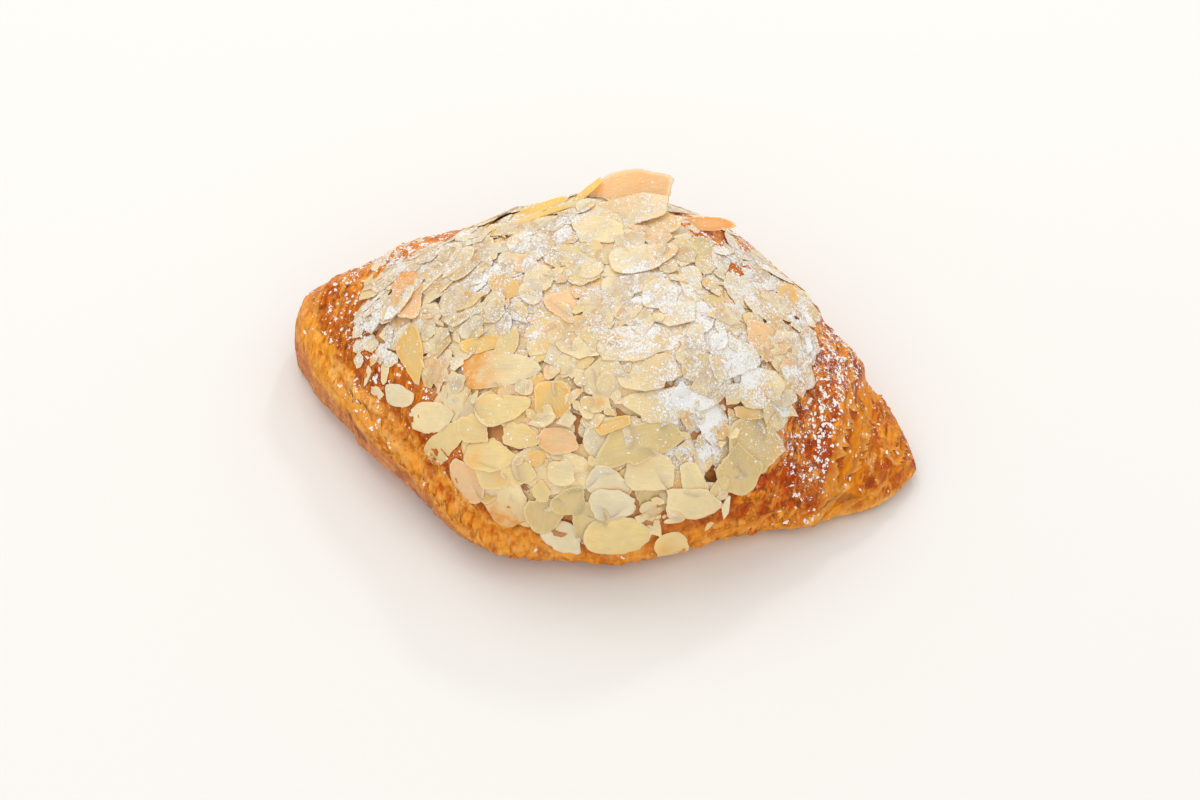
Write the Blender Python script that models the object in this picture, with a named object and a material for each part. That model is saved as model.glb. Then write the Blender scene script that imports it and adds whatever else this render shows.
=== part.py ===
"""Almond croissant: a rolled and split pastry under a heap of sliced almonds, made as one closed solid.

The croissant lies along X with its near side towards -Y. Its flat underside is at Z = 0 and the origin is the
middle of that underside. Sizes are in millimetres and MM turns them into metres when a mesh is made.

The crust is described in sections across X. In each section a point is given by its angle round the section's
middle: 0 degrees is the far side, 90 the crest, 180 the near side and 270 the underside.
"""
import math

import bmesh
import bpy
import numpy as np
from mathutils import Vector

MM = 0.001
SEED = 7

# The crust's outline: place along X, near edge, far edge, crest height, height of the widest line and middle
# across.
STATIONS = np.array([
    (-78.0, 0.5, 9.5, 13.0, 6.0, 5.0),
    (-74.0, -5.5, 15.5, 19.0, 7.0, 5.0),
    (-60.0, -17.0, 27.0, 26.5, 8.0, 5.0),
    (-38.0, -33.5, 37.5, 35.0, 9.0, 4.5),
    (-8.0, -49.0, 50.0, 46.0, 10.0, 4.5),
    (14.0, -47.0, 49.0, 48.0, 10.0, 4.5),
    (40.0, -31.0, 37.5, 37.0, 8.0, 4.5),
    (58.0, -20.0, 25.0, 24.0, 6.0, 3.5),
    (71.0, -10.5, 13.0, 11.0, 4.0, 2.5),
    (78.0, -0.5, 4.5, 5.0, 3.0, 2.5),
])
LEFT_END = STATIONS[0, 0]
RIGHT_END = STATIONS[-1, 0]
SQUARENESS = 2.4          # exponent of the section's upper curve, where 2 is an ellipse
UNDERSIDE_SQUARENESS = 3.0
UNDERSIDE_DEPTH = 1.25    # depth of the lower curve per height of the widest line, before it is cut at Z = 0
END_ROUNDING = 4.0        # over this length each end closes to a point
TIP_LIFT = 2.5            # how far the right tip's underside rises clear
TIP_LIFT_LENGTH = 15.0

# Where the rolled dough's layers end: nominal place along X, side that lies lower, height of the step.
WRAP_EDGES = ((-70.0, -1, 1.0), (-57.0, -1, 1.6), (50.0, 1, 1.6), (64.0, 1, 2.8), (68.5, -1, 1.6))
WRAP_STEP_WIDTH = 0.7
WRAP_REACH = 9.0
WRAP_SWEEP = 5.0          # how far a layer's edge runs back towards the middle at the sides
WRAP_SWEEP_FROM = 64.0

# The seam where the croissant was split for its filling: place along X, height of the seam on the near side.
SEAM = np.array([(-78.0, 17.0), (-66.0, 16.0), (-54.0, 15.5), (-42.0, 17.0), (-26.0, 15.0), (-10.0, 10.5),
                 (10.0, 8.0), (40.0, 7.0), (60.0, 5.0), (78.0, 4.0)])
SEAM_STEP_WIDTH = 0.8
RIM = 2.0                 # how far the lower half's edge stands out
GROOVE = 2.4              # how deep the hollow above that edge is
GROOVE_WIDTH = 5.0
RIM_SPAN = (-73.0, -66.0, -6.0, 12.0)   # the rim starts, is full, starts to fade and has faded
RIM_REST = 0.3            # share of the rim that is left along the rest of the near side
FAR_SEAM_HEIGHT = 12.0
FAR_RIM = 0.5             # share of the rim and groove on the far side
FAR_RIM_FADE = (50.0, 64.0)

# Low swellings: height, length along X, turns round the section, phase.
LUMPS = ((0.5, 11.0, 3.0, 0.4), (0.35, 6.5, 5.0, 2.1), (0.25, 4.3, 8.0, 4.4))
LUMP_TWIST = 0.08

# The bed of almonds: place along X, angle where it ends on the far side, angle where it ends on the near.
BED = np.array([(-56.0, 80.0, 96.0), (-50.0, 50.0, 122.0), (-38.0, 34.0, 138.0), (-26.0, 24.0, 150.0),
                (-16.0, 20.0, 162.0), (0.0, 16.0, 172.0), (28.0, 18.0, 170.0), (38.0, 28.0, 160.0),
                (44.0, 42.0, 146.0), (48.0, 80.0, 100.0)])
BED_DEPTH = 1.0           # the crust lies this much lower under the almonds
BED_FADE = 6.0

# Sliced almonds
FLAKE_COUNT = 82
FLAKE_LENGTH = (14.0, 23.0)
FLAKE_SLENDERNESS = (0.48, 0.66)
FLAKE_THICKNESS = 1.25
FLAKE_SINK = 0.35         # each flake is pressed this far into what it lies on, so that all are one body
FLAKE_BEARING = 0.8       # share of a flake that would lie clear of the heap if it weren't pressed in
FLAKE_SIDES = 8
FLAKE_CURL = 0.7          # how far a flake's edge may rise or fall from its middle
LAST_FLAKE_CURL = 0.3
FLAKE_TAPER = 0.28        # how much narrower a flake is at its pointed end
FLAKE_MAX_SLOPE = 0.32    # rise per length that a flake takes from what it lies on
FLAKE_TILT = 0.1          # rise per length that is added by chance
BROKEN_SHARE = 0.6
BREAK_TURN = (-0.7, 0.7)  # radians between the break and a straight cut across the flake
BREAK_PLACE = (-0.1, 0.5) # where the flake broke, from its middle at 0 to its pointed end at 1
CANDIDATES = 9            # places tried for each flake, of which the least covered is taken
GRID_STEP_ALONG = 1.5
GRID_STEP_ROUND = 2.0     # degrees
FOOTPRINT_STEP = 1.2      # spacing of the points at which a flake feels the heap
PROBE_STEP = 0.5          # the bed's slope is measured over this length and this turn
PROBE_TURN = math.radians(1.0)

# The flakes that stand out: place along X, angle round the section, length, width, turn in
# degrees, rise per length towards the near side.
LAST_FLAKES = (
    (-16.0, 100.0, 14.0, 12.0, -25.0, 0.0),
    (0.0, 107.0, 13.0, 10.0, -10.0, 0.0),
    (-30.0, 110.0, 14.0, 9.0, 0.0, 0.0),
    (26.0, 133.0, 18.0, 9.5, 0.0, 0.0),
    (42.0, 122.0, 12.0, 10.0, 10.0, 0.0),
    (40.0, 101.0, 15.0, 9.0, -10.0, 0.0),
    (-43.0, 112.0, 15.0, 8.0, 60.0, 0.0),
    (-39.0, 138.0, 13.0, 8.0, 65.0, 0.0),
    (-43.5, 153.0, 11.0, 3.5, -20.0, 0.0),
    (-13.0, 144.0, 15.5, 8.5, -15.0, 0.0),
    (-15.0, 135.0, 22.0, 9.5, -10.0, 0.0),
    (-23.5, 153.0, 15.0, 6.5, -40.0, 0.0),
    (-19.0, 168.0, 12.5, 12.0, 55.0, 0.0),
    (-7.5, 167.0, 17.5, 11.5, 100.0, 0.0),
    (-11.0, 157.0, 17.0, 8.5, -10.0, 0.0),
    (4.0, 178.0, 14.0, 10.0, 60.0, 0.0),
    (0.0, 171.0, 15.0, 9.5, 75.0, 0.0),
    (14.0, 158.0, 10.5, 8.0, -10.0, 0.0),
    (22.5, 155.0, 12.0, 9.0, -10.0, 0.0),
    (19.0, 148.0, 26.0, 8.5, -20.0, 0.0),
    (16.0, 166.0, 12.0, 8.5, -10.0, 0.0),
    (18.0, 175.0, 16.0, 11.0, -5.0, 0.0),
    (31.0, 165.0, 16.5, 9.0, 10.0, 0.0),
    (37.0, 151.0, 17.0, 9.5, 40.0, 0.0),
    (41.5, 148.0, 21.0, 12.0, 45.0, 0.0),
    (28.5, 183.0, 9.5, 5.5, 10.0, 0.0),
    (42.5, 55.0, 11.0, 8.0, 45.0, 0.0),
    (3.0, 45.0, 20.0, 10.0, -5.0, -0.5),
    (-18.0, 50.0, 20.0, 8.0, 5.0, -0.15),
    (-14.0, 55.0, 18.0, 8.0, -5.0, 0.0),
)

# Mesh fineness
RING_SPACING = 3.0
ROWS_CREST_TO_SEAM = 8
ROWS_SEAM_TO_UNDERSIDE = 4
ROWS_UNDERSIDE = 3
SEAM_ROW_GAP = 1.6        # degrees from the seam to each of the two rows that carry its step
SEAM_LIFT = (0.02, 0.85)  # least and greatest share of the crest's height at which these rows run
UNDERSIDE_FROM, UNDERSIDE_TO = 226.0, 314.0
FLAT_ANGLE = math.radians(0.6)   # faces that meet flatter than this become one

CRUST_COLOUR = (0.62, 0.27, 0.06, 1.0)
CRUST_ROUGHNESS = 0.45


def smooth_curve(places, values, x):
    """A smooth curve through the given points that never overshoots them."""
    gaps = np.diff(places)
    slopes = np.diff(values) / gaps
    tangents = np.empty(len(places))
    tangents[0], tangents[-1] = slopes[0], slopes[-1]
    before, after = slopes[:-1], slopes[1:]
    same_way = before * after > 0
    safe_before = np.where(same_way, before, 1.0)
    safe_after = np.where(same_way, after, 1.0)
    weight_before = 2 * gaps[1:] + gaps[:-1]
    weight_after = gaps[1:] + 2 * gaps[:-1]
    mean = (weight_before + weight_after) / (weight_before / safe_before + weight_after / safe_after)
    tangents[1:-1] = np.where(same_way, mean, 0.0)
    x = np.clip(x, places[0], places[-1])
    i = np.clip(np.searchsorted(places, x) - 1, 0, len(gaps) - 1)
    t = (x - places[i]) / gaps[i]
    start = (1 + 2 * t) * (1 - t) ** 2 * values[i] + t * (1 - t) ** 2 * gaps[i] * tangents[i]
    end = t * t * (3 - 2 * t) * values[i + 1] + t * t * (t - 1) * gaps[i] * tangents[i + 1]
    return start + end


def ramp(x, start, end):
    """Rises smoothly from 0 at start to 1 at end."""
    t = np.clip((x - start) / (end - start), 0.0, 1.0)
    return t * t * (3 - 2 * t)


def section(x):
    """Near edge, far edge, crest height, height of the widest line and middle of Y at the place x."""
    return [smooth_curve(STATIONS[:, 0], STATIONS[:, k], x) for k in range(1, 6)]


def end_share(x):
    """Closes both ends: 1 along the croissant, falling to 0 at its two ends."""
    inside = np.minimum(x - LEFT_END, RIGHT_END - x)
    t = 1 - np.clip(inside / END_ROUNDING, 0.0, 1.0)
    return np.sqrt(np.maximum(1 - t * t, 0.0))


def superellipse_radius(across, up, half_width, half_height, power):
    """Distance from the middle to a superellipse in the direction (across, up)."""
    return (np.abs(across / half_width) ** power + np.abs(up / half_height) ** power) ** (-1 / power)


def plain_radius(x, angle):
    """Distance from the section's middle to the crust, without any relief."""
    near, far, crest, belly, middle = section(x)
    across, up = np.cos(angle), np.sin(angle)
    half_width = np.where(across > 0, far - middle, middle - near)
    above = superellipse_radius(across, up, half_width, crest - belly, SQUARENESS)
    below = superellipse_radius(across, up, half_width, belly * UNDERSIDE_DEPTH, UNDERSIDE_SQUARENESS)
    floor = belly / np.maximum(-up, 1e-6)
    return np.where(up >= 0, above, np.minimum(below, floor)) * end_share(x)


def wrap_relief(nominal):
    """Steps where one layer of rolled dough ends on the next."""
    height = np.zeros_like(nominal)
    for edge, side, step in WRAP_EDGES:
        outside = side * (nominal - edge)
        height -= 0.5 * step * np.tanh(outside / WRAP_STEP_WIDTH) * np.exp(-np.abs(outside) / WRAP_REACH)
    return height


def seam_relief(x, angle, z):
    """The lower half's edge standing out under a hollow, on the near side and more weakly on the far side."""
    start, full, fade, end = RIM_SPAN
    share = ramp(x, start, full) * (RIM_REST + (1 - RIM_REST) * (1 - ramp(x, fade, end)))
    share = share * (1 - ramp(x, RIGHT_END - TIP_LIFT_LENGTH, RIGHT_END))
    near_side = -np.cos(angle) > 0
    seam = np.where(near_side, np.interp(x, SEAM[:, 0], SEAM[:, 1]), FAR_SEAM_HEIGHT)
    share = np.where(near_side, share, FAR_RIM * ramp(x, start, full) * (1 - ramp(x, *FAR_RIM_FADE)))
    above = z - seam
    upper = 0.5 * (1 + np.tanh(above / SEAM_STEP_WIDTH))
    rim = RIM * (1 - upper)
    hollow = GROOVE * upper * np.exp(-np.maximum(above, 0) / GROOVE_WIDTH)
    return share * (rim - hollow)


def lump_relief(x, angle):
    """Low uneven swellings of the baked dough."""
    height = np.zeros_like(x)
    for size, length, turns, phase in LUMPS:
        height += size * np.sin(x / length + phase) * np.cos(turns * angle + phase + LUMP_TWIST * x)
    return height


def bed_share(x, angle):
    """1 under the bed of almonds, falling to 0 outside it."""
    degrees = np.degrees(angle)
    far_end = np.interp(x, BED[:, 0], BED[:, 1])
    near_end = np.interp(x, BED[:, 0], BED[:, 2])
    along = ramp(x, BED[0, 0] - BED_FADE, BED[0, 0]) * (1 - ramp(x, BED[-1, 0], BED[-1, 0] + BED_FADE))
    across = ramp(degrees, far_end - BED_FADE, far_end) * (1 - ramp(degrees, near_end, near_end + BED_FADE))
    return along * across


def crust_relief(nominal, x, angle, z):
    """How far the crust stands out of its plain form, fading out at the underside and the ends."""
    relief = wrap_relief(nominal) + seam_relief(x, angle, z) + lump_relief(x, angle)
    relief = relief - BED_DEPTH * bed_share(x, angle)
    return relief * ramp(z, 1.0, 6.0) * end_share(x)


def crust_points(nominal, angle):
    """Points of the crust for a nominal place along X and an angle, both arrays of one shape."""
    up = np.sin(angle)
    sweep = np.interp(np.abs(nominal), (0.0, WRAP_SWEEP_FROM, RIGHT_END), (0.0, WRAP_SWEEP, 0.0))
    x = nominal - np.sign(nominal) * sweep * (1 - np.maximum(up, 0.0))
    near, far, crest, belly, middle = section(x)
    radius = plain_radius(x, angle)
    z = belly + radius * up
    radius = np.maximum(radius + crust_relief(nominal, x, angle, z), 0.0)
    floor = TIP_LIFT * ramp(x, RIGHT_END - TIP_LIFT_LENGTH, RIGHT_END)
    y = middle + radius * np.cos(angle)
    z = np.maximum(belly + radius * up, floor)
    return np.stack((x, y, z), axis=-1)


def ring_places():
    """Nominal places of the crust's rings, with a close pair at each layer's edge and at the ends."""
    marks = [LEFT_END, LEFT_END + 0.5, LEFT_END + 2.0]
    for edge, _, _ in WRAP_EDGES:
        marks += [edge - WRAP_STEP_WIDTH, edge + WRAP_STEP_WIDTH]
    marks += [RIGHT_END - 2.0, RIGHT_END - 0.5, RIGHT_END]
    places = [marks[0]]
    for start, end in zip(marks, marks[1:]):
        steps = max(1, round((end - start) / RING_SPACING))
        places += list(np.linspace(start, end, steps + 1)[1:])
    return np.array(places)


def seam_rise(x, side, seam):
    """Angle in degrees above the widest line at which a seam of that height crosses one side of a section."""
    near, far, crest, belly, middle = [float(value) for value in section(x)]
    lift = min(max((seam - belly) / (crest - belly), SEAM_LIFT[0]), SEAM_LIFT[1])
    reach = middle - near if side == "near" else far - middle
    across = (1 - lift ** SQUARENESS) ** (1 / SQUARENESS) * reach
    return math.degrees(math.atan2(lift * (crest - belly), across))


def row_angles(x):
    """The angles of one ring's rows, starting at the crest, with a close pair along each side's seam."""
    near = 180 - seam_rise(x, "near", np.interp(x, SEAM[:, 0], SEAM[:, 1]))
    far = 360 + seam_rise(x, "far", FAR_SEAM_HEIGHT)
    marks = ((90.0, near - SEAM_ROW_GAP, ROWS_CREST_TO_SEAM),
             (near - SEAM_ROW_GAP, near + SEAM_ROW_GAP, 1),
             (near + SEAM_ROW_GAP, UNDERSIDE_FROM, ROWS_SEAM_TO_UNDERSIDE),
             (UNDERSIDE_FROM, UNDERSIDE_TO, ROWS_UNDERSIDE),
             (UNDERSIDE_TO, far - SEAM_ROW_GAP, ROWS_SEAM_TO_UNDERSIDE),
             (far - SEAM_ROW_GAP, far + SEAM_ROW_GAP, 1),
             (far + SEAM_ROW_GAP, 450.0, ROWS_CREST_TO_SEAM))
    return np.concatenate([np.linspace(start, end, rows, endpoint=False) for start, end, rows in marks])


def face_outwards(shape):
    """Turns a closed shape's faces to point out of it."""
    bmesh.ops.recalc_face_normals(shape, faces=shape.faces)
    if shape.calc_volume(signed=True) < 0:
        bmesh.ops.reverse_faces(shape, faces=shape.faces)


def make_crust():
    """A sphere's rings and rows, each vertex set to its place on the crust."""
    places = ring_places()
    rows = len(row_angles(0.0))
    angles = np.radians([row_angles(x) for x in places[1:-1]])
    points = crust_points(np.repeat(places[1:-1, None], rows, axis=1), angles)
    shape = bmesh.new()
    bmesh.ops.create_uvsphere(shape, u_segments=rows, v_segments=len(places) - 1, radius=1.0)
    for vertex in shape.verts:
        ring = round(math.acos(max(-1.0, min(1.0, vertex.co.z))) / math.pi * (len(places) - 1))
        row = round(math.atan2(vertex.co.y, vertex.co.x) / math.tau * rows) % rows
        if ring in (0, len(places) - 1):
            x = places[ring]
            near, far, crest, belly, middle = section(x)
            vertex.co = Vector((x, middle, belly)) * MM
        else:
            vertex.co = Vector(points[ring - 1, row]) * MM
    bmesh.ops.triangulate(shape, faces=shape.faces)
    face_outwards(shape)
    mesh = bpy.data.meshes.new("croissant")
    shape.to_mesh(mesh)
    shape.free()
    return bpy.data.objects.new("croissant", mesh)


class AlmondBed:
    """Lays flakes one by one on the crust and on each other, and keeps the height of the heap."""

    def __init__(self):
        self.along = np.arange(LEFT_END, RIGHT_END + GRID_STEP_ALONG, GRID_STEP_ALONG)
        self.round = np.arange(-60.0, 240.0, GRID_STEP_ROUND)
        x, degrees = np.meshgrid(self.along, self.round, indexing="ij")
        angle = np.radians(degrees)
        bare = self.surface(x, angle)
        self.height = crust_relief(x, x, angle, bare[..., 2]) + BED_DEPTH
        self.layers = np.zeros_like(self.height)

    def surface(self, x, angle):
        """The smooth bed under the almonds."""
        near, far, crest, belly, middle = section(x)
        radius = plain_radius(x, angle) - BED_DEPTH
        return np.stack((x, middle + radius * np.cos(angle), belly + radius * np.sin(angle)), axis=-1)

    def frame(self, x, angle):
        """A point of the bed with its two directions and its outward normal."""
        xs = x + PROBE_STEP * np.array([0, -1, 1, 0, 0])
        angles = angle + PROBE_TURN * np.array([0, 0, 0, -1, 1])
        points = self.surface(xs, angles)
        along = points[2] - points[1]
        along = along / np.linalg.norm(along)
        across = points[4] - points[3]
        normal = np.cross(across, along)
        normal = normal / np.linalg.norm(normal)
        return points[0], along, np.cross(along, normal), normal

    def cells(self, points):
        """The grid cell under each point and the point's distance above the bed."""
        x = np.clip(points[:, 0], LEFT_END + 1.0, RIGHT_END - 1.0)
        near, far, crest, belly, middle = section(x)
        across, up = points[:, 1] - middle, points[:, 2] - belly
        angle = np.arctan2(up, across)
        angle = np.where(angle < -math.pi / 2, angle + math.tau, angle)
        above = np.hypot(across, up) - (plain_radius(x, angle) - BED_DEPTH)
        i = np.clip(np.round((x - self.along[0]) / GRID_STEP_ALONG).astype(int), 0, len(self.along) - 1)
        j = np.round((np.degrees(angle) - self.round[0]) / GRID_STEP_ROUND).astype(int)
        return i, np.clip(j, 0, len(self.round) - 1), above

    def lay(self, x, angle, outline, curl, tilt=(0.0, 0.0)):
        """Settles one flake on the heap and returns its top and bottom outline."""
        point, along, across, normal = self.frame(x, angle)
        inner = np.concatenate((outline, points_inside(outline)))
        flat = point + inner[:, :1] * along + inner[:, 1:] * across
        i, j, above = self.cells(flat)
        height = self.height[i, j]
        plane = np.column_stack((np.ones(len(inner)), inner))
        fit = np.linalg.lstsq(plane, height, rcond=None)[0]
        fit[1:] = np.clip(fit[1:], -FLAKE_MAX_SLOPE, FLAKE_MAX_SLOPE) + tilt
        fit[0] += np.quantile(height - plane @ fit, FLAKE_BEARING) - FLAKE_SINK
        reach = np.sum(inner ** 2, axis=1)
        lift = plane @ fit + curl * (reach / reach.max() - reach.mean() / reach.max())
        self.height[i, j] = np.maximum(height, lift + FLAKE_THICKNESS)
        self.layers[i, j] += 1
        bottom = flat + (lift - above)[:, None] * normal
        bottom = bottom[:len(outline)]
        return bottom, bottom + FLAKE_THICKNESS * normal


def points_inside(outline):
    """An even grid of points inside an outline that bulges everywhere."""
    reach = np.arange(-0.6 * FLAKE_LENGTH[1], 0.6 * FLAKE_LENGTH[1], FOOTPRINT_STEP)
    points = np.stack(np.meshgrid(reach, reach), axis=-1).reshape(-1, 2)
    edges = np.roll(outline, -1, axis=0) - outline
    offsets = points[:, None] - outline[None]
    sides = edges[:, 0] * offsets[..., 1] - edges[:, 1] * offsets[..., 0]
    return points[np.all(sides > 0, axis=1)]


def flake_outline(length, width, break_turn, break_place):
    """A slice through an almond, round at one end and pointed at the other, less what has broken off."""
    t = np.linspace(0, math.tau, FLAKE_SIDES, endpoint=False)
    x = 0.5 * length * np.cos(t)
    y = 0.5 * width * np.sin(t) * (1 - FLAKE_TAPER * np.cos(t))
    points = np.column_stack((x, y))
    if break_place is None:
        return points
    direction = np.array((math.cos(break_turn), math.sin(break_turn)))
    limit = break_place * np.abs(points @ direction).max()
    kept = []
    for a, b in zip(points, np.roll(points, -1, axis=0)):
        side_a, side_b = limit - a @ direction, limit - b @ direction
        if side_a >= 0:
            kept.append(a)
        if side_a * side_b < 0:
            kept.append(a + (b - a) * side_a / (side_a - side_b))
    return np.array(kept) - np.mean(kept, axis=0)


def turned(outline, degrees):
    """The outline turned in its own plane."""
    turn = math.radians(degrees)
    return outline @ np.array(((math.cos(turn), math.sin(turn)), (-math.sin(turn), math.cos(turn))))


def spread_flakes(bed, rng):
    """Lays flakes where the heap is lowest, out to the edge of the bed."""
    laid = []
    for _ in range(FLAKE_COUNT):
        length = rng.uniform(*FLAKE_LENGTH)
        width = length * rng.uniform(*FLAKE_SLENDERNESS)
        broken = rng.random() < BROKEN_SHARE
        break_turn, break_place = rng.uniform(*BREAK_TURN), rng.uniform(*BREAK_PLACE)
        outline = flake_outline(length, width, break_turn, break_place if broken else None)
        turn, curl = rng.uniform(0, 360), rng.uniform(-FLAKE_CURL, FLAKE_CURL)
        tilt = rng.uniform(-FLAKE_TILT, FLAKE_TILT, 2)
        xs = rng.uniform(BED[0, 0], BED[-1, 0], CANDIDATES)
        shares = rng.uniform(0, 1, CANDIDATES)
        far_end = np.interp(xs, BED[:, 0], BED[:, 1])
        near_end = np.interp(xs, BED[:, 0], BED[:, 2])
        angles = np.radians(far_end + shares * (near_end - far_end))
        i, j, _ = bed.cells(bed.surface(xs, angles))
        best = np.argmin(bed.layers[i, j])
        laid.append(bed.lay(xs[best], angles[best], turned(outline, turn), curl, tilt))
    return laid


def lay_last_flakes(bed):
    """Lays the flakes that stand out on top of the heap."""
    laid = []
    for x, degrees, length, width, turn, rise in LAST_FLAKES:
        outline = turned(flake_outline(length, width, 0.0, None), turn)
        laid.append(bed.lay(x, math.radians(degrees), outline, LAST_FLAKE_CURL, (0.0, rise)))
    return laid


def make_flake(number, bottom, top, collection):
    """One flake: a prism whose two ends take the flake's bottom and top outline."""
    sides = len(bottom)
    shape = bmesh.new()
    bmesh.ops.create_cone(shape, cap_ends=True, segments=sides, radius1=1.0, radius2=1.0, depth=2.0)
    for vertex in shape.verts:
        corner = round((math.pi / 2 - math.atan2(vertex.co.y, vertex.co.x)) / math.tau * sides) % sides
        outline = top if vertex.co.z > 0 else bottom
        vertex.co = Vector(outline[corner]) * MM
    bmesh.ops.triangulate(shape, faces=shape.faces)
    face_outwards(shape)
    mesh = bpy.data.meshes.new(f"flake_{number}")
    shape.to_mesh(mesh)
    shape.free()
    collection.objects.link(bpy.data.objects.new(mesh.name, mesh))


def fuse(body, toppings):
    """Joins all the flakes to the body, then removes the loose flakes."""
    union = body.modifiers.new("toppings", "BOOLEAN")
    union.operation = "UNION"
    union.operand_type = "COLLECTION"
    union.collection = toppings
    union.solver = "MANIFOLD"
    bpy.context.view_layer.update()
    fused = bpy.data.meshes.new_from_object(body.evaluated_get(bpy.context.evaluated_depsgraph_get()))
    body.modifiers.clear()
    body.data = fused
    for flake in list(toppings.objects):
        bpy.data.objects.remove(flake)
    bpy.data.collections.remove(toppings)


def keep_outer_shell(body):
    """Keeps the largest connected shell: drops loose scraps and fills sealed hollows."""
    shape = bmesh.new()
    shape.from_mesh(body.data)
    bmesh.ops.dissolve_limit(shape, angle_limit=FLAT_ANGLE, verts=shape.verts, edges=shape.edges)
    bmesh.ops.triangulate(shape, faces=shape.faces)
    left = set(shape.verts)
    shells = []
    while left:
        shell, front = set(), [left.pop()]
        while front:
            vertex = front.pop()
            shell.add(vertex)
            for edge in vertex.link_edges:
                other = edge.other_vert(vertex)
                if other in left:
                    left.remove(other)
                    front.append(other)
        shells.append(shell)
    shells.sort(key=len, reverse=True)
    dropped = [vertex for shell in shells[1:] for vertex in shell]
    bmesh.ops.delete(shape, geom=dropped, context="VERTS")
    shape.to_mesh(body.data)
    shape.free()


def crust_material():
    """Baked pastry."""
    material = bpy.data.materials.new("crust")
    material.use_nodes = True
    finish = material.node_tree.nodes["Principled BSDF"]
    finish.inputs["Base Color"].default_value = CRUST_COLOUR
    finish.inputs["Roughness"].default_value = CRUST_ROUGHNESS
    finish.inputs["Metallic"].default_value = 0.0
    return material


def main():
    for thing in list(bpy.data.objects):
        bpy.data.objects.remove(thing)
    model = bpy.data.collections.new("almond_croissant")
    bpy.context.scene.collection.children.link(model)
    toppings = bpy.data.collections.new("toppings")
    bpy.context.scene.collection.children.link(toppings)

    body = make_crust()
    model.objects.link(body)
    bed = AlmondBed()
    laid = spread_flakes(bed, np.random.default_rng(SEED)) + lay_last_flakes(bed)
    for number, (bottom, top) in enumerate(laid):
        make_flake(number, bottom, top, toppings)
    fuse(body, toppings)
    keep_outer_shell(body)
    body.data.materials.clear()
    body.data.materials.append(crust_material())
    print("triangles", len(body.data.polygons))


main()
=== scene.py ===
"""Almond croissant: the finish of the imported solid, as a Blender add-on that is run as a script.

The pieces are crust, crust_layers, crumbs, almond_cream, almond_slices, almond_pieces, sugar_clumps and
sugar_powder, on a plain floor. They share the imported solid's frame: X runs along the croissant towards its
folded tip, -Y is the near side with the standing rim, and the flat underside is at Z = 0. Sizes are in
millimetres until MM turns them into metres.

The crust is described in sections across X. In each section a point is given by its angle round the section's
middle: 0 degrees is the far side, 90 the crest, 180 the near side and 270 the underside.
"""

import math
from collections import namedtuple
from functools import cached_property

import bmesh
import bpy
import numpy as np
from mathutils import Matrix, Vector, noise
from mathutils.bvhtree import BVHTree


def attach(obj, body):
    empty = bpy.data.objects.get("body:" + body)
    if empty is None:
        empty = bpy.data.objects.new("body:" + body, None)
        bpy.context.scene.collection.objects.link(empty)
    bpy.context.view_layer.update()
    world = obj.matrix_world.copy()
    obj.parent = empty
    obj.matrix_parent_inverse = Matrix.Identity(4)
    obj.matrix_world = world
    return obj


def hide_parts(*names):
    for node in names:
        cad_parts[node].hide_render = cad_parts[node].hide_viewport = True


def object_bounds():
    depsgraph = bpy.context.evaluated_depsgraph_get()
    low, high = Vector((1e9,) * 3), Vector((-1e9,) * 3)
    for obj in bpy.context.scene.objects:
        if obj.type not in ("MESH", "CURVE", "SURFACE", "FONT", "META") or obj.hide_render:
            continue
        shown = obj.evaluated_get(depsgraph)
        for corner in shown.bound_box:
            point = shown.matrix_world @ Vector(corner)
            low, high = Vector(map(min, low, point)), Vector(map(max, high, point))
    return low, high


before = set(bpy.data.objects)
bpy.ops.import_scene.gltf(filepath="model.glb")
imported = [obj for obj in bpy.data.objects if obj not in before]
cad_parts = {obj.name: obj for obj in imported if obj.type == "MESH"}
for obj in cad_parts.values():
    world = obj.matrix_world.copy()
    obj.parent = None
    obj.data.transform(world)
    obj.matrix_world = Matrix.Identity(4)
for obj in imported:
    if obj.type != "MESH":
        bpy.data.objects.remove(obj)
CAD_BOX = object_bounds()

bl_info = {
    "name": "Almond croissant",
    "version": (1, 0, 0),
    "blender": (4, 5, 0),
    "location": "3D View > Sidebar > Croissant",
    "description": "Models a baked almond croissant with its sliced almonds, icing sugar and crumbs",
    "category": "Add Mesh",
}

MM = 0.001
NODE = "croissant"
BODY = "root"

# --- The croissant's form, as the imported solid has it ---

# The crust's outline: place along X, near edge, far edge, crest, height of the widest line, middle across.
STATIONS = np.array([
    (-78, 0.5, 9.5, 13, 6, 5),
    (-74, -5.5, 15.5, 19, 7, 5),
    (-60, -17, 27, 26.5, 8, 5),
    (-38, -33.5, 37.5, 35, 9, 4.5),
    (-8, -49, 50, 46, 10, 4.5),
    (14, -47, 49, 48, 10, 4.5),
    (40, -31, 37.5, 37, 8, 4.5),
    (58, -20, 25, 24, 6, 3.5),
    (71, -10.5, 13, 11, 4, 2.5),
    (78, -0.5, 4.5, 5, 3, 2.5),
])
LEFT_END = STATIONS[0, 0]
RIGHT_END = STATIONS[-1, 0]
SQUARENESS = 2.4  # exponent of the upper curve, where 2 is an ellipse
UNDERSIDE_SQUARENESS = 3.0
UNDERSIDE_DEPTH = 1.25  # depth of the lower curve per height of the widest line, cut at Z = 0
END_ROUNDING = 4  # over this length each end closes to a point
TIP_LIFT = 2.5  # how far the right tip's underside rises clear
TIP_LIFT_LENGTH = 15

# Where the rolled dough's layers end: place along X, side that lies lower, height of the step.
WRAP_EDGES = ((-70, -1, 1), (-57, -1, 1.6), (50, 1, 1.6), (64, 1, 2.8), (68.5, -1, 1.6))
WRAP_STEP_WIDTH = 0.7
WRAP_REACH = 9
WRAP_SWEEP = 5  # how far a layer's edge runs back towards the middle at the sides
WRAP_SWEEP_FROM = 64

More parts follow.
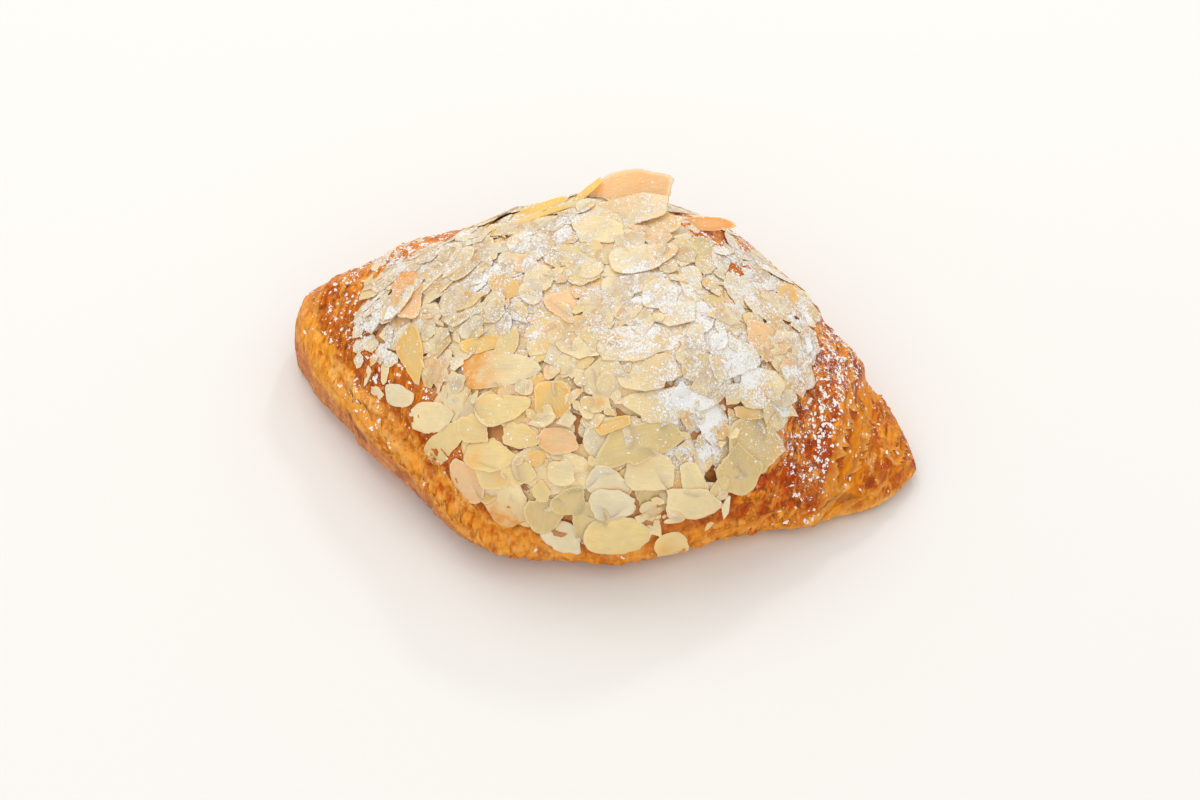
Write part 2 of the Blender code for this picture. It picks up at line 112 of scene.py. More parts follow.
# The seam where the croissant was split: place along X, height on the near side.
SEAM = np.array([(-78, 17), (-66, 16), (-54, 15.5), (-42, 17), (-26, 15), (-10, 10.5),
                 (10, 8), (40, 7), (60, 5), (78, 4)])
SEAM_STEP_WIDTH = 0.8
RIM = 2  # how far the lower half's edge stands out
GROOVE = 2.4  # how deep the hollow above that edge is
GROOVE_WIDTH = 5
RIM_SPAN = (-73, -66, -6, 12)  # the rim starts, is full, starts to fade and has faded
RIM_REST = 0.3  # share of the rim that is left along the rest of the near side
FAR_SEAM_HEIGHT = 12
FAR_RIM = 0.5  # share of the rim and groove on the far side
FAR_RIM_FADE = (50, 64)

# Low swellings: height, length along X, turns round the section, phase.
LUMPS = ((0.5, 11, 3, 0.4), (0.35, 6.5, 5, 2.1), (0.25, 4.3, 8, 4.4))
LUMP_TWIST = 0.08

# The bed of almonds: place along X, angles where it ends on the far and the near side.
BED = np.array([(-56, 80, 96), (-50, 50, 122), (-38, 34, 138), (-26, 24, 150),
                (-16, 20, 162), (0, 16, 172), (28, 18, 170), (38, 28, 160),
                (44, 42, 146), (48, 80, 100)])
BED_DEPTH = 1  # the crust lies this much lower under the almonds
BED_FADE = 6

# Sliced almonds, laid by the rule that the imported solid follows
SEED = 7
FLAKE_COUNT = 82
FLAKE_LENGTH = (14, 23)
FLAKE_SLENDERNESS = (0.48, 0.66)
FLAKE_THICKNESS = 1.25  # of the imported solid's flakes; the real slices are thinner
FLAKE_SINK = 0.35
FLAKE_BEARING = 0.8
FLAKE_SIDES = 8
FLAKE_CURL = 0.7
FLAKE_TAPER = 0.28
FLAKE_MAX_SLOPE = 0.32
FLAKE_TILT = 0.1
BROKEN_SHARE = 0.6
BREAK_TURN = (-0.7, 0.7)
BREAK_PLACE = (-0.1, 0.5)
CANDIDATES = 9
GRID_STEP_ALONG = 1.5
GRID_STEP_ROUND = 2
FOOTPRINT_STEP = 1.2
PROBE_STEP = 0.5
PROBE_TURN = math.radians(1)

# The slices that stand out, in the order in which they lie on each other: place along X, angle round the
# section, length, width, turn in degrees, tone, which end is toasted (-1, 0 or 1), how much sugar settles on
# it, its straight breaks, each as a direction in degrees and a share of the way out, and, where it stands up
# off the heap, its rise per length along X and towards the near side.
STANDING_SLICES = (
    (1, 53, 23, 9.5, -5, "peach", 0, 0, ((10, 0.8),), 0.42, -1.1),
    (2, 60, 22, 9, -5, "cream", 0, 1, ((10, 0.8),), 0.3, -0.5),
    (9, 64, 14, 8, 10, "butter", 0, 1, ((350, 0.8), (80, 0.8)), 0.3, -0.35),
    (-9.5, 52, 15, 2.8, -30, "sunny", 0, 0, (), 0.35, -0.6),
    (-20.5, 52, 21, 2.4, -5, "sunny", 0, 0, ((0, 0.9), (180, 0.9)), 0.05, -0.6),
    (-19.5, 61, 22, 2.2, -3, "sunny", 0, 0, ((0, 0.9), (180, 0.9)), 0.05, -0.3),
    (18.5, 57, 14, 4.5, 0, "ember_toast", 0, 0, (), 0.45, -0.55),
    (-49.5, 150, 7, 1.8, 95, "pale", 0, 0.1, ()),
    (-45, 147, 10, 3, 72, "cream", 0, 0.2, ()),
    (-46, 156, 6, 3.5, -10, "pale", 0, 0.1, ((90, 0.6),)),
    (-54, 139, 5, 4, 20, "pale", 0, 0.9, ((200, 0.7),)),
    (-53, 146, 4.5, 3.5, 80, "cream", 0, 0.9, ((20, 0.7),)),
    (-55, 131, 5.5, 4, 130, "cream", 0, 1, ()),
    (-51, 136, 6, 4.5, 10, "cream", 0, 1, ((120, 0.7),)),
    (-47, 139, 6.5, 4.5, 60, "pale", 0, 1, ((200, 0.75),)),
    (-44, 141, 6, 4.5, 15, "cream", 0, 1, ((80, 0.7),)),
    (-48.5, 143, 4.5, 3.5, 100, "peach", 0, 0.6, ()),
    (-53, 118, 6, 5, 40, "pale", 0, 0.9, ((160, 0.8),)),
    (-50, 126, 6, 4.5, 100, "cream", 0, 0.9, ((20, 0.7),)),
    (-46, 131, 6, 5, 20, "cream", 0, 0.8, ((250, 0.8),)),
    (40.5, 60, 12.5, 6, 80, "honey", 0, 0.1, ((130, 0.8),)),
    (-19, 168, 13.5, 11.5, 125, "peach", 0, 0, ((40, 0.75), (130, 0.85))),
    (-8, 168, 16.5, 13.5, 90, "cream", 1, 0, ((320, 0.9), (90, 0.95))),
    (-5, 159, 9, 5.5, -10, "butter", 0, 0, ((240, 0.8),)),
    (-11.5, 162, 10, 6.5, -5, "butter", 0, 0, ((150, 0.8),)),
    (-12, 157, 19, 8, -10, "butter", 0, 0.1, ((190, 0.8), (70, 0.85))),
    (5.5, 178, 11.5, 9.5, 70, "pale", 0, 0, ((290, 0.85), (340, 0.9))),
    (11, 171, 14, 9, 95, "moss", 0, 0, ((80, 0.8),)),
    (1, 169, 13.5, 9, 95, "moss", 0, 0, ((160, 0.75),)),
    (7, 164, 10.5, 7.5, -65, "moss", 0, 0.1, ((150, 0.75), (60, 0.8))),
    (0.5, 162, 6.5, 5, -95, "butter", 0, 0, ((170, 0.8), (90, 0.75), (270, 0.8))),
    (14.5, 158, 10.5, 7.5, 15, "pale", 0, 0.4, ((70, 0.9),)),
    (16, 164, 12, 9, 10, "pale", 0, 0, ((340, 0.85), (160, 0.9))),
    (18, 175, 17, 12.5, 20, "butter", 0, 0, ((340, 0.9), (20, 0.85))),
    (30.5, 156, 11, 7, 35, "cream", 0, 0.1, ((130, 0.6), (290, 0.75))),
    (22.5, 154, 13.5, 10.5, 5, "cream", 0, 0.15, ((350, 0.8), (80, 0.85), (170, 0.9))),
    (31, 163, 17.5, 9, 20, "cream", 0, 0.3, ((250, 0.7),)),
    (35, 174, 5, 3, 70, "butter", 0, 0, ((220, 0.5),)),
    (28.5, 182, 11, 7.5, 40, "butter", 0, 0, ((310, 0.85), (120, 0.9))),
    (25, 173, 7, 4.5, 55, "cream", 0, 0.2, ((50, 0.7),)),
    (22, 168, 4.5, 3.5, -15, "cream", 0, 0.3, ()),
    (38, 166, 7, 3, 95, "pale", 0, 0.2, ()),
    (43, 143, 16, 13, 25, "moss", 0, 0.5, ((10, 0.75), (260, 0.9))),
    (40, 151, 15.5, 13, 65, "moss", 0, 0.5, ((240, 0.5), (150, 0.6))),
    (-29.5, 155, 17.5, 7.5, -20, "cream", 0, 0.5, ((180, 0.85), (90, 0.85), (50, 0.8))),
    (-25.5, 160, 21, 6.5, -50, "butter", 0, 0, ((340, 0.85), (150, 0.9))),
    (-39.5, 153, 11.5, 5, -10, "pale", 0, 0.2, ((350, 0.8), (170, 0.8))),
    (-17.5, 153, 10.5, 7, 0, "butter", 0, 0.2, ((340, 0.8), (70, 0.8))),
    (-6.5, 151, 10.5, 5.5, 0, "butter", 0, 0.3, ((170, 0.8),)),
    (2.5, 150, 10.5, 6, 0, "peach", 0, 0.2, ((350, 0.85), (260, 0.85))),
    (4.5, 157, 7.5, 6, 5, "cream", 0, 0.4, ((340, 0.7), (250, 0.8))),
    (-12, 145, 14.5, 8.5, -20, "butter", 0, 0.1, ((280, 0.6),)),
    (-16, 136, 23, 9.5, -15, "cream", -1, 0, ((170, 0.85),)),
    (-20, 129, 18, 4, -20, "honey", 0, 0.1, ()),
    (-1, 141, 11, 9, 45, "honey", 0, 0.2, ((120, 0.8), (210, 0.85))),
    (3, 145, 6, 4.5, -10, "pale", 0, 0.8, ((90, 0.8),)),
    (19, 147, 24.5, 9, -20, "moss", 0, 0.05, ((180, 0.9),)),
    (13, 144, 15.5, 3, -30, "honey", 0, 0.1, ()),
    (40, 131, 11, 4, -15, "moss", 0, 0.2, ((270, 0.5), (180, 0.8))),
    (40.5, 121, 12.5, 10.5, -10, "cream", 0, 1, ((180, 0.9),)),
    (24, 134, 26, 9, -20, "cream", 0, 1, ((270, 0.6),)),
    (18.5, 127, 18.5, 9.5, -25, "cream", 0, 1, ((280, 0.8),)),
    (32.5, 116, 15, 11, -20, "pale", 0, 1, ((190, 0.8),)),
    (14.5, 119, 20.5, 10.5, -30, "cream", 0, 1, ((110, 0.9),)),
    (-38.5, 137, 15.5, 7, 55, "honey", 0, 0.1, ((300, 0.9),)),
    (-43, 112, 17, 8, 60, "peach", -1, 0.5, ((30, 0.8),)),
    (-27.5, 114, 14.5, 5.5, -5, "butter", 0, 0.6, ((270, 0.6),)),
    (-4.5, 111, 12, 8, 55, "peach", 0, 0.4, ((280, 0.8), (60, 0.85))),
    (-18.5, 107, 11, 6, 35, "honey", 0, 0.3, ((260, 0.8), (10, 0.8))),
    (-15, 94, 9.5, 7.5, -10, "peach", 0, 0.5, ((100, 0.8),)),
    (15.5, 100, 10, 8.5, 120, "cream", 0, 1, ((230, 0.8), (310, 0.9))),
    (23.5, 106, 12, 8.5, 100, "pale", 0, 1, ((70, 0.8),)),
    (31, 93, 10, 8, 65, "pale", 0, 1, ()),
    (38.5, 101, 13, 9.5, -15, "peach", 0, 0.6, ((180, 0.8), (70, 0.85))),
    (20.5, 90, 13, 5.5, 75, "cream", 0, 1, ((170, 0.8),)),
    (26, 95, 9, 5.5, 60, "moss", 0, 0, ()),
    (9, 83, 17, 11, -35, "cream", 0, 1, ((290, 0.7),)),
    (31.5, 79, 13.5, 11, -55, "cream", 0, 0.9, ((100, 0.8),)),
    (21, 71, 16, 8, 75, "moss", 0, 0.5, ((150, 0.7),)),
    (-3.5, 73, 14.5, 10, 0, "cream", 0, 0.7, ((80, 0.8),)),
)

# --- What the finish adds ---

# Rings along X: the spacing from each place on; the bare ends show their crust and get the most.
RING_SPACINGS = ((LEFT_END, 0.38), (-44, 0.56), (5, 1.05), (38, 0.38))
ROWS_CREST_TO_SEAM = 84
ROWS_AT_SEAM = 30
ROWS_SEAM_TO_UNDERSIDE = 40
ROWS_UNDERSIDE = 14
SEAM_ROW_GAP = 9  # degrees to each side of a seam that its close rows cover
SEAM_LIFT = (0.02, 0.85)
UNDERSIDE_FROM, UNDERSIDE_TO = 226, 314

EDGE_WOBBLE = ((0.9, 9, 3), (0.35, 2.5, 4))  # a layer's edge wanders: how far, over what length, seed
# Folds, bare spots and patches that stand out, and a dark line of painted shadow under one fold's step:
# colour, its share, height, half width, and the two ends, each as a place along X and an angle round the
# section.
MARKS = (
    ("glaze", 0, -2.2, 7, -73, 52, -66, 48),
    ("glaze_dark_and_shade", 0.8, -0.5, 0.55, -68, 114, -67.5, 91),
    ("scorched", 0.7, -0.6, 0.6, -64, 117, -63, 87),
    ("glaze_dark_and_shade", 0.6, -0.3, 0.5, -62, 106, -59.5, 96),
    ("glaze_dark_and_shade", 0.5, -0.2, 0.8, -55, 120, -55, 105),
    ("golden", 0.5, 0.3, 2.5, -65, 141, -56.5, 172),
    ("hollow", 1, -0.8, 1.7, -58.5, 149, -51.5, 156),
    ("ember", 0.8, -0.6, 1.1, -48.5, 148, -44, 152),
    ("hollow", 1, -0.5, 1.2, -39.5, 158, -36.5, 164),
    ("ember", 0.9, -0.6, 2, -33.5, 164, -30, 168),
    ("ember", 0.9, -0.6, 1.2, -29, 170, -24.5, 167),
    ("crumb", 0.8, 0.8, 2, -60, 157, -53.5, 161),
    ("crumb", 0.8, 0.7, 2, -53.5, 161, -46.5, 162),
    ("crumb", 0.6, 0.5, 1.7, -43, 166, -36.5, 171),
    ("scorched", 0.8, -0.3, 1.2, -55, 175, -49, 178),
    ("scorched", 0.7, -0.3, 1.2, -33.5, 184, -26, 186),
    ("scorched", 0.6, -0.4, 0.7, 45, 59, 49, 101),
    ("scorched", 0.6, -0.4, 0.7, 49, 101, 50, 117),
    ("scorched", 0.7, -0.4, 0.8, 50, 117, 52.5, 147),
    ("ember", 0.8, 0, 1.8, 53.5, 65, 57.5, 66),
    ("ember", 0.7, 0, 1.6, 53, 108, 58, 106),
    ("ember", 0.8, 0, 1.6, 53.5, 138, 56, 140),
    ("ember", 0.6, 0, 1.8, 59, 120, 61, 128),
    # A dark line along the low side of the shoulder's fold step: painted shadow under the step
    ("ember", 0.8, -0.3, 0.6, 59.5, 51, 62.2, 90),
    ("ember", 0.8, -0.3, 0.6, 62.2, 90, 61.8, 141),
    ("ember", 0.8, -0.3, 0.6, 61.8, 141, 61, 173),
    ("crumb", 0.6, 0.2, 0.35, 58.5, 51, 61.2, 90),
    ("crumb", 0.6, 0.2, 0.35, 61.2, 90, 61, 141),
    ("scorched", 0.8, -0.4, 0.5, 62.5, 70, 65.6, 95),
    ("scorched", 0.8, -0.4, 0.5, 65.6, 95, 65.5, 133),
    ("scorched", 0.8, -0.4, 0.5, 65.5, 133, 64.1, 157),
    ("scorched", 0.8, -0.3, 0.5, 64.7, 50, 73, 61),
    ("crumb", 0.9, 0.5, 0.7, 53, 190, 59.5, 178),
    ("crumb", 0.9, 0.5, 0.7, 59.5, 178, 64.3, 162),
    ("crumb", 0.8, 0.3, 0.6, 65.4, 109, 65.4, 112),
    ("crumb", 0.8, 0.5, 0.5, 70, 154, 72, 163),
    ("crumb", 0.7, 0.4, 0.4, 68.4, 128, 68.6, 150),
    ("crumb", 0.7, 0.4, 0.4, 73.4, 133, 70.3, 118),
    ("scorched", 0.5, 0, 1.8, 61.5, 174, 65, 176),
    ("band", 0.8, 0.2, 1.3, 66, 160, 68, 169),
    ("ember", 0.7, 0.1, 1.4, 68, 161, 71.5, 154),
    ("ember", 0.8, -0.3, 0.5, 43.5, 177, 47.5, 177),
    ("band", 0.8, 0.2, 1.4, 42.5, 165, 45, 165),
)
MARK_WOBBLE = (2.4, 41, 2)  # a mark's edge wobbles: over what length, seed, octaves
# Free edges of the thin outer layers: how far they reach past their line along X and in degrees, how far
# they lift, and the line, as places along X before the sweep and angles.
LAYER_EDGES = (
    (2, 0, 1.3, ((57.2, 51), (59.6, 83), (60.2, 113), (61.5, 141), (62.9, 167), (63.2, 178))),
    (1.6, 0, 0.6, ((49.2, 58), (49.2, 156))),
    (1.6, 0, 1.2, ((61.3, 70), (63.9, 84), (65.1, 113), (66.1, 135), (65.9, 157))),
    (1.6, 0, 1.1, ((70.6, 30), (71.5, 95), (71, 130))),
    (1.5, 0, 0.8, ((73.6, 40), (73.5, 140))),
    (1.2, 0, 0.4, ((65.4, 70), (65.6, 140))),
    (1.4, 0, 0.7, ((55, 30), (57.5, 76))),
    (1.4, 0, 0.7, ((66, 20), (69, 64))),
    (-1.5, 0, 0.5, ((-69.2, 70), (-69.4, 160))),
    (-1.2, 0, 0.5, ((-63.4, 70), (-63.8, 124))),
    (-1.2, 0, 0.5, ((-59, 60), (-59.4, 108))),
    (0, 8, 0.9, ((67.5, 160), (65.5, 172), (62, 178), (57, 184), (48, 188), (34, 190))),
    (0, 7, 0.7, ((74.5, 150), (70, 172), (66, 182), (58, 194))),
    (0, 5, 0.7, ((20, 188), (34, 184), (46, 180), (54, 176))),
    (0, -6, 0.8, ((-66, 166), (-52, 170), (-40, 172))),
    (0, -4, 0.8, ((-41, 168), (-28, 172), (-14, 178))),
    (0, -5, 0.7, ((-46, 176), (-30, 180), (-10, 186))),
)
LAYER_STEP = 0.6
LAYER_RADIUS = 20  # about the crust's radius there, which turns an angle into a length
LAYER_ROWS = 5
LAYER_THICKNESS = 0.4
# Layers and streaks that show as waves: spacing, how far they wander, over what length, seed.
TOP_LAYERS = (2.7, 2.2, 14, 11)  # faint, under the glaze
SIDE_LAYERS = (1.3, 1.6, 11, 13)  # in the split side wall
CUT_LAYERS = (0.9, 0.5, 6, 24)  # across the cut left end
STREAKS = (1.1, 1.2, 7, 14)  # on the folded tip
TOP_LAYER_DEPTH = 0.2
SIDE_LAYER_DEPTH = 0.22
STREAK_DEPTH = 0.16
BLISTER_SIZE = 2.2
# How many golden spots the glaze has: a shift of the noise that is cut into spots.
SPOTS = {"plain": 0, "rim": 0.07, "hollow": -0.05, "wall": -0.25, "band": -0.3, "tip": 0, "right": 0.05}
# How strongly the glaze is mottled.
MOTTLE = {"plain": 0.55, "rim": -0.25, "hollow": 0.2, "wall": -0.35, "band": -0.75, "tip": -0.4, "right": 0.6,
          "left": 0.35}
RIM_TEXTURE = 0.6  # least share of the rim's torn texture on the near side, up to the right shoulder
SMOOTH_LIP = (-52, -42)  # left of this the torn rim is a smooth lip
BLISTER_HEIGHT = 0.24
FOLD_SHIFT = 2.8  # the tip's folds lie up to this much nearer to the middle than the solid's
LIP_FILL = 1.5  # the thick lip fills the lower part of the hollow behind it
CRUMB_DEPTH = 1.35  # the torn rim is rough and porous
CRUMB_SIZE = 2.1
PORE_SIZE = 1.9
PORE_DEPTH = 0.35

HEAP_DROP = 0.7  # how far under the solid's highest flakes the real slices start
HEAP_THINS = (-2, 9)  # it thins out over this distance from its left edge
SHOULDER_DROP = 2.2  # it lies this much lower on the far right, from these places on
SHOULDER_ALONG = (3, 14)
SHOULDER_ROUND = (70, 100)
SLICE_COUNT = 250  # slices spread by chance, under those that stand out
SLICE_LENGTH = (9, 19)
SLICE_THICKNESS = 0.45
SLICE_TOP = 0.65  # how far a slice's top lies above the level on which it settles
SLICE_GAP = 0.6  # how much higher the next slice on it lies
SLICE_BEARING = 0.66
SLICE_TILT = 0.06
SLICE_CURL = 0.35
STANDING_CURL = 0.2
SLICE_SIDES = 44
SLICE_RIPPLE = 0.16
SLICE_CHIPS = 4
TOP_TONES = ("cream", "cream", "cream", "butter", "butter", "pale", "pale", "peach", "honey", "moss")
# Slices on the near slope take darker tones, the moss one partly as painted shade
# On the near slope, left and right of this place along X
SLOPE_MIDDLE = 2
SLOPE_TONES = (("butter", "cream", "butter", "peach", "cream", "honey"),
               ("moss", "pale", "moss", "cream", "butter"))
SLOPE_SUGAR = (0.9, 1.6)  # a slice there keeps this share of the sugar that covers the bed
STANDING_SUGAR = 0.3  # the least share on a slice that stands out
FRAGMENT_LENGTH = 7.5  # a slice that is shorter than this
FRAGMENT_WIDTH = 2.5  # and wider than this is an angular fragment
SLICE_NOTCH = (0, 0.22)  # depth of the dent in its edge, as a share of its reach
# The heap's left edge: angle and place along X; few almonds lie further left
HEAP_EDGE = ((30, -30), (60, -38), (75, -43), (100, -50), (125, -54), (180, -60))
STRAY_SHARE = 0.35  # of the broken pieces outside the heap's edge stay
STRAY_LIMIT = 132  # down to this angle
SLOPE_PIECE = 0.6  # the pieces on the near slope are this much smaller
LEVEL_DROP = 0.45  # how far the pieces' level lies under the highest slices
SLOPE_DROP = 0.6  # how much lower that is on the near slope
SLOPE_FROM = (116, 132)
CREAM_STEP_ALONG = 0.8
CREAM_STEP_ROUND = 1.1
CREAM_SPAN = ((-60, 48), (10, 182))
CREAM_DROP = 0.5  # how far the baked almond cream lies under the pieces' level
FAR_FILL = 0.4  # on the far side it also lies where this share less of the bed is covered
CREAM_BURIED = 2.4  # outside the heap its sheet runs this deep in the crust
CREAM_THICKNESS = 1.2
PIECE_COUNT = 1000
PIECE_TONES = ("cream", "butter", "pale", "honey", "peach")
PIECE_TONE_SHARES = (0.48, 0.22, 0.14, 0.05, 0.11)
PIECE_LENGTH = (3, 13)
PIECE_BEARING = 0.6
PIECE_ROUNDED = 0.5  # share of the pieces whose corners are worn
PIECE_SLENDERNESS = (0.45, 1)
PIECE_SIDES = 12
PIECE_CORNERS = (4, 7)
PIECE_THICKNESS = 0.26
PIECE_TOP = 0.36
PIECE_TILT = 0.03
PIECE_LIMIT = 160  # fewer pieces lie further down the near slope than this angle
PIECE_LEFT_OUT = 0.2  # share of those that are left out
PIECE_CURL = 0.15
PIECE_RIPPLE = 0.08
PIECE_SUGAR = (0.6, 1)
# None lies on the slices that stand up off the crest: angles and places along X
CREST_ROUND = (46, 66)
CREST_SPAN = (-34, 26)
SLIVER_SHARE = 0.08  # of the broken pieces are thin slivers
SLIVER_WIDTH = 1.4
CHIP_PLACE = (0.35, 0.9)  # a chip's straight edge lies at this share of the reach
EXTRA_CHIP_PLACE = (0.7, 0.95)
JAG = 0.05

# Where sugar settled: place along X, place across, radius, share of the surface that it covers.
SUGAR_PATCHES = (
    (-13, 15, 6, 0.9), (-16.5, 8, 6, 0.6), (-23, -1, 6, 0.7), (-28, -10, 6, 0.5),
    (-14, -15, 7, 0.5), (-42, 9, 9, 0.35), (-50, 12, 8, 0.4), (-53, -7, 5, 0.6),
    (-62, 8, 9, 0.25), (-48, -14, 6, 0.7), (28, -24, 6.5, 1), (37, -13, 6, 0.8),
    (14.5, -15, 7, 0.75), (25, -5, 8, 0.65), (32, -10, 5, 0.6), (10.5, -1, 8, 0.6),
    (30, 18, 11, 0.5), (41, 17, 7, 0.6), (50, 13, 7, 0.8), (57, 11, 6, 0.75),
    (57, 1, 5, 0.45), (54, 6, 5, 0.55), (49.5, -5, 4.5, 0.6), (51, -15, 4, 0.5),
    (56, -17, 5, 0.65), (45, -20, 6, 0.4), (30, -31, 5, 0.4), (23, -38, 4, 0.3),
)
SUGAR_EVERYWHERE = 0.26
SUGAR_ON_TOP = 0.16  # and this much more above the near slope, which starts between these places across
SUGAR_TOP_FROM = (-26, -12)
# Sugar stays where the surface's normal rises more than the first, all of it from the second on
SUGAR_FLAT = (0, 0.6)
CLUMP_COUNT = 8600
CLUMP_RADIUS = (0.13, 0.32)
POWDER_COUNT = 24000
POWDER_RADIUS = (0.09, 0.17)
CRUST_CLUMP = 1.25  # on the bare crust the clumps are this much larger
CRUST_POWDER = 0.6  # and this share of the powder stays
CLUSTER_SIZE = 1.7  # on the bare crust the sugar lies in clusters of this size
CLUSTER_LEVEL = -0.02
SLICE_CLUSTER = 1.1  # and on the almonds in smaller ones that close up
CLUMP_NEIGHBOURS = 3  # up to so many more grains stick to a clump on the crust
CLUMP_GAP = 1.3  # this many radii away
TRIES_PER_GRAIN = 40
GRAIN_FLATNESS = 0.5

# Loose crumbs: place along X and across, how far they lie round it, how many
CRUMB_SPOTS = (
    (72, 12.5, 2, 10), (69, 16, 2, 6), (76, 3, 1.5, 4), (66.5, 0, 2, 5), (62, -15, 3, 8),
    (-26, -40, 5, 16), (-38, -33, 5, 20), (-48, -24, 5, 12), (-14, -46, 4, 14),
    (45, -27, 4, 10), (52, -21, 4, 8), (-58, -12, 4, 6), (-2, -48.5, 4, 8),
)
CRUMB_RADIUS = (0.25, 0.75)
CRUMB_SPREAD = 0.6
CRUMB_FLATNESS = 0.6

# Soft lamps: name, place and size in metres, power in watts
LIGHTS = (("key", (-0.5, 0.5, 1.2), 0.9, 4.6), ("fill", (0.2, -0.9, 0.7), 1.2, 1.6),
          ("glint", (0.05, 0.8, 0.7), 0.1, 1.2))
# Camera: where it looks, from what turn, height and distance, and its lens
LOOK_AT = (-0.913, 6.759, 0)
CAMERA_TURN = 15.4
CAMERA_HEIGHT = 47.5
CAMERA_DISTANCE = 690
SENSOR_WIDTH = 36
FOCAL_PIXELS = 2832  # focal length in pixels of the photograph's width
PHOTO_WIDTH = 1200

Settled = namedtuple("Settled", "point along across normal fit curl far mean")
Flake = namedtuple("Flake", "rest length width turn tone toasted sugar cuts")


def linear(code):
    """An sRGB hex colour as linear red, green and blue."""
    values = [int(code[i:i + 2], 16) / 255 for i in (1, 3, 5)]
    return tuple(v / 12.92 if v <= 0.04045 else ((v + 0.055) / 1.055) ** 2.4 for v in values)


# --- The crust's form ---

def smooth_curve(places, values, x):
    """A smooth curve through the given points that never overshoots them."""
    gaps = np.diff(places)
    slopes = np.diff(values) / gaps
    tangents = np.empty(len(places))
    tangents[0], tangents[-1] = slopes[0], slopes[-1]
    before, after = slopes[:-1], slopes[1:]
    same_way = before * after > 0
    safe_before = np.where(same_way, before, 1.0)
    safe_after = np.where(same_way, after, 1.0)
    weight_before = 2 * gaps[1:] + gaps[:-1]
    weight_after = gaps[1:] + 2 * gaps[:-1]
    mean = (weight_before + weight_after) / (weight_before / safe_before + weight_after / safe_after)
    tangents[1:-1] = np.where(same_way, mean, 0.0)
    x = np.clip(x, places[0], places[-1])
    i = np.clip(np.searchsorted(places, x) - 1, 0, len(gaps) - 1)
    t = (x - places[i]) / gaps[i]
    start = (1 + 2 * t) * (1 - t) ** 2 * values[i] + t * (1 - t) ** 2 * gaps[i] * tangents[i]
    end = t * t * (3 - 2 * t) * values[i + 1] + t * t * (t - 1) * gaps[i] * tangents[i + 1]
    return start + end


def ramp(x, start, end):
    """Rises smoothly from 0 at start to 1 at end."""
    t = np.clip((x - start) / (end - start), 0, 1)
    return t * t * (3 - 2 * t)


def bump(x, middle, width):
    """1 at the middle, falling smoothly to 0 over the width to both sides."""
    return np.exp(-((x - middle) / width) ** 2)


def section(x):
    """Near edge, far edge, crest height, height of the widest line and middle of Y at the place x."""
    return [smooth_curve(STATIONS[:, 0], STATIONS[:, k], x) for k in range(1, 6)]


def end_share(x):
    """Closes both ends: 1 along the croissant, falling to 0 at its two ends."""
    inside = np.minimum(x - LEFT_END, RIGHT_END - x)
    t = 1 - np.clip(inside / END_ROUNDING, 0, 1)
    return np.sqrt(np.maximum(1 - t * t, 0.0))


def superellipse_radius(across, up, half_width, half_height, power):
    """Distance from the middle to a superellipse in the direction (across, up)."""
    return (np.abs(across / half_width) ** power + np.abs(up / half_height) ** power) ** (-1 / power)


def plain_radius(x, angle):
    """Distance from the section's middle to the crust, without any relief."""
    near, far, crest, belly, middle = section(x)
    across, up = np.cos(angle), np.sin(angle)
    half_width = np.where(across > 0, far - middle, middle - near)
    above = superellipse_radius(across, up, half_width, crest - belly, SQUARENESS)
    below = superellipse_radius(across, up, half_width, belly * UNDERSIDE_DEPTH, UNDERSIDE_SQUARENESS)
    floor = belly / np.maximum(-up, 1e-6)
    return np.where(up >= 0, above, np.minimum(below, floor)) * end_share(x)


def wrap_relief(nominal):
    """Steps where one layer of rolled dough ends on the next."""
    height = np.zeros_like(nominal)
    for edge, side, step in WRAP_EDGES:
        outside = side * (nominal - edge)
        height -= 0.5 * step * np.tanh(outside / WRAP_STEP_WIDTH) * np.exp(-np.abs(outside) / WRAP_REACH)
    return height


def seam_height(x, near_side):
    """Height of the seam on the near or the far side."""
    return np.where(near_side, np.interp(x, SEAM[:, 0], SEAM[:, 1]), FAR_SEAM_HEIGHT)


def rim_share(x, near_side):
    """How much of the standing rim there is."""
    start, full, fade, end = RIM_SPAN
    share = ramp(x, start, full) * (RIM_REST + (1 - RIM_REST) * (1 - ramp(x, fade, end)))
    share = share * (1 - ramp(x, RIGHT_END - TIP_LIFT_LENGTH, RIGHT_END))
    return np.where(near_side, share, FAR_RIM * ramp(x, start, full) * (1 - ramp(x, *FAR_RIM_FADE)))


def seam_relief(x, angle, z):
    """The lower half's edge standing out under a hollow, on the near side and more weakly on the far side."""
    near_side = -np.cos(angle) > 0
    above = z - seam_height(x, near_side)
    upper = 0.5 * (1 + np.tanh(above / SEAM_STEP_WIDTH))
    rim = RIM * (1 - upper)
    hollow = GROOVE * upper * np.exp(-np.maximum(above, 0) / GROOVE_WIDTH)
    return rim_share(x, near_side) * (rim - hollow)


def lump_relief(x, angle):
    """Low uneven swellings of the baked dough."""
    height = np.zeros_like(x)
    for size, length, turns, phase in LUMPS:
        height += size * np.sin(x / length + phase) * np.cos(turns * angle + phase + LUMP_TWIST * x)
    return height


def bed_ends(x):
    """The angles in degrees where the bed of almonds ends on the far and on the near side."""
    return [np.interp(x, BED[:, 0], BED[:, k]) for k in (1, 2)]


def bed_share(x, angle):
    """1 under the bed of almonds, falling to 0 outside it."""
    degrees = np.degrees(angle)
    far_end, near_end = bed_ends(x)
    along = ramp(x, BED[0, 0] - BED_FADE, BED[0, 0]) * (1 - ramp(x, BED[-1, 0], BED[-1, 0] + BED_FADE))
    across = ramp(degrees, far_end - BED_FADE, far_end) * (1 - ramp(degrees, near_end, near_end + BED_FADE))
    return along * across


def crust_relief(nominal, x, angle, z):
    """How far the crust stands out of its plain form, fading out at the underside and the ends."""
    relief = wrap_relief(nominal) + seam_relief(x, angle, z) + lump_relief(x, angle)
    relief = relief - BED_DEPTH * bed_share(x, angle)
    return relief * ramp(z, 1.0, 6.0) * end_share(x)


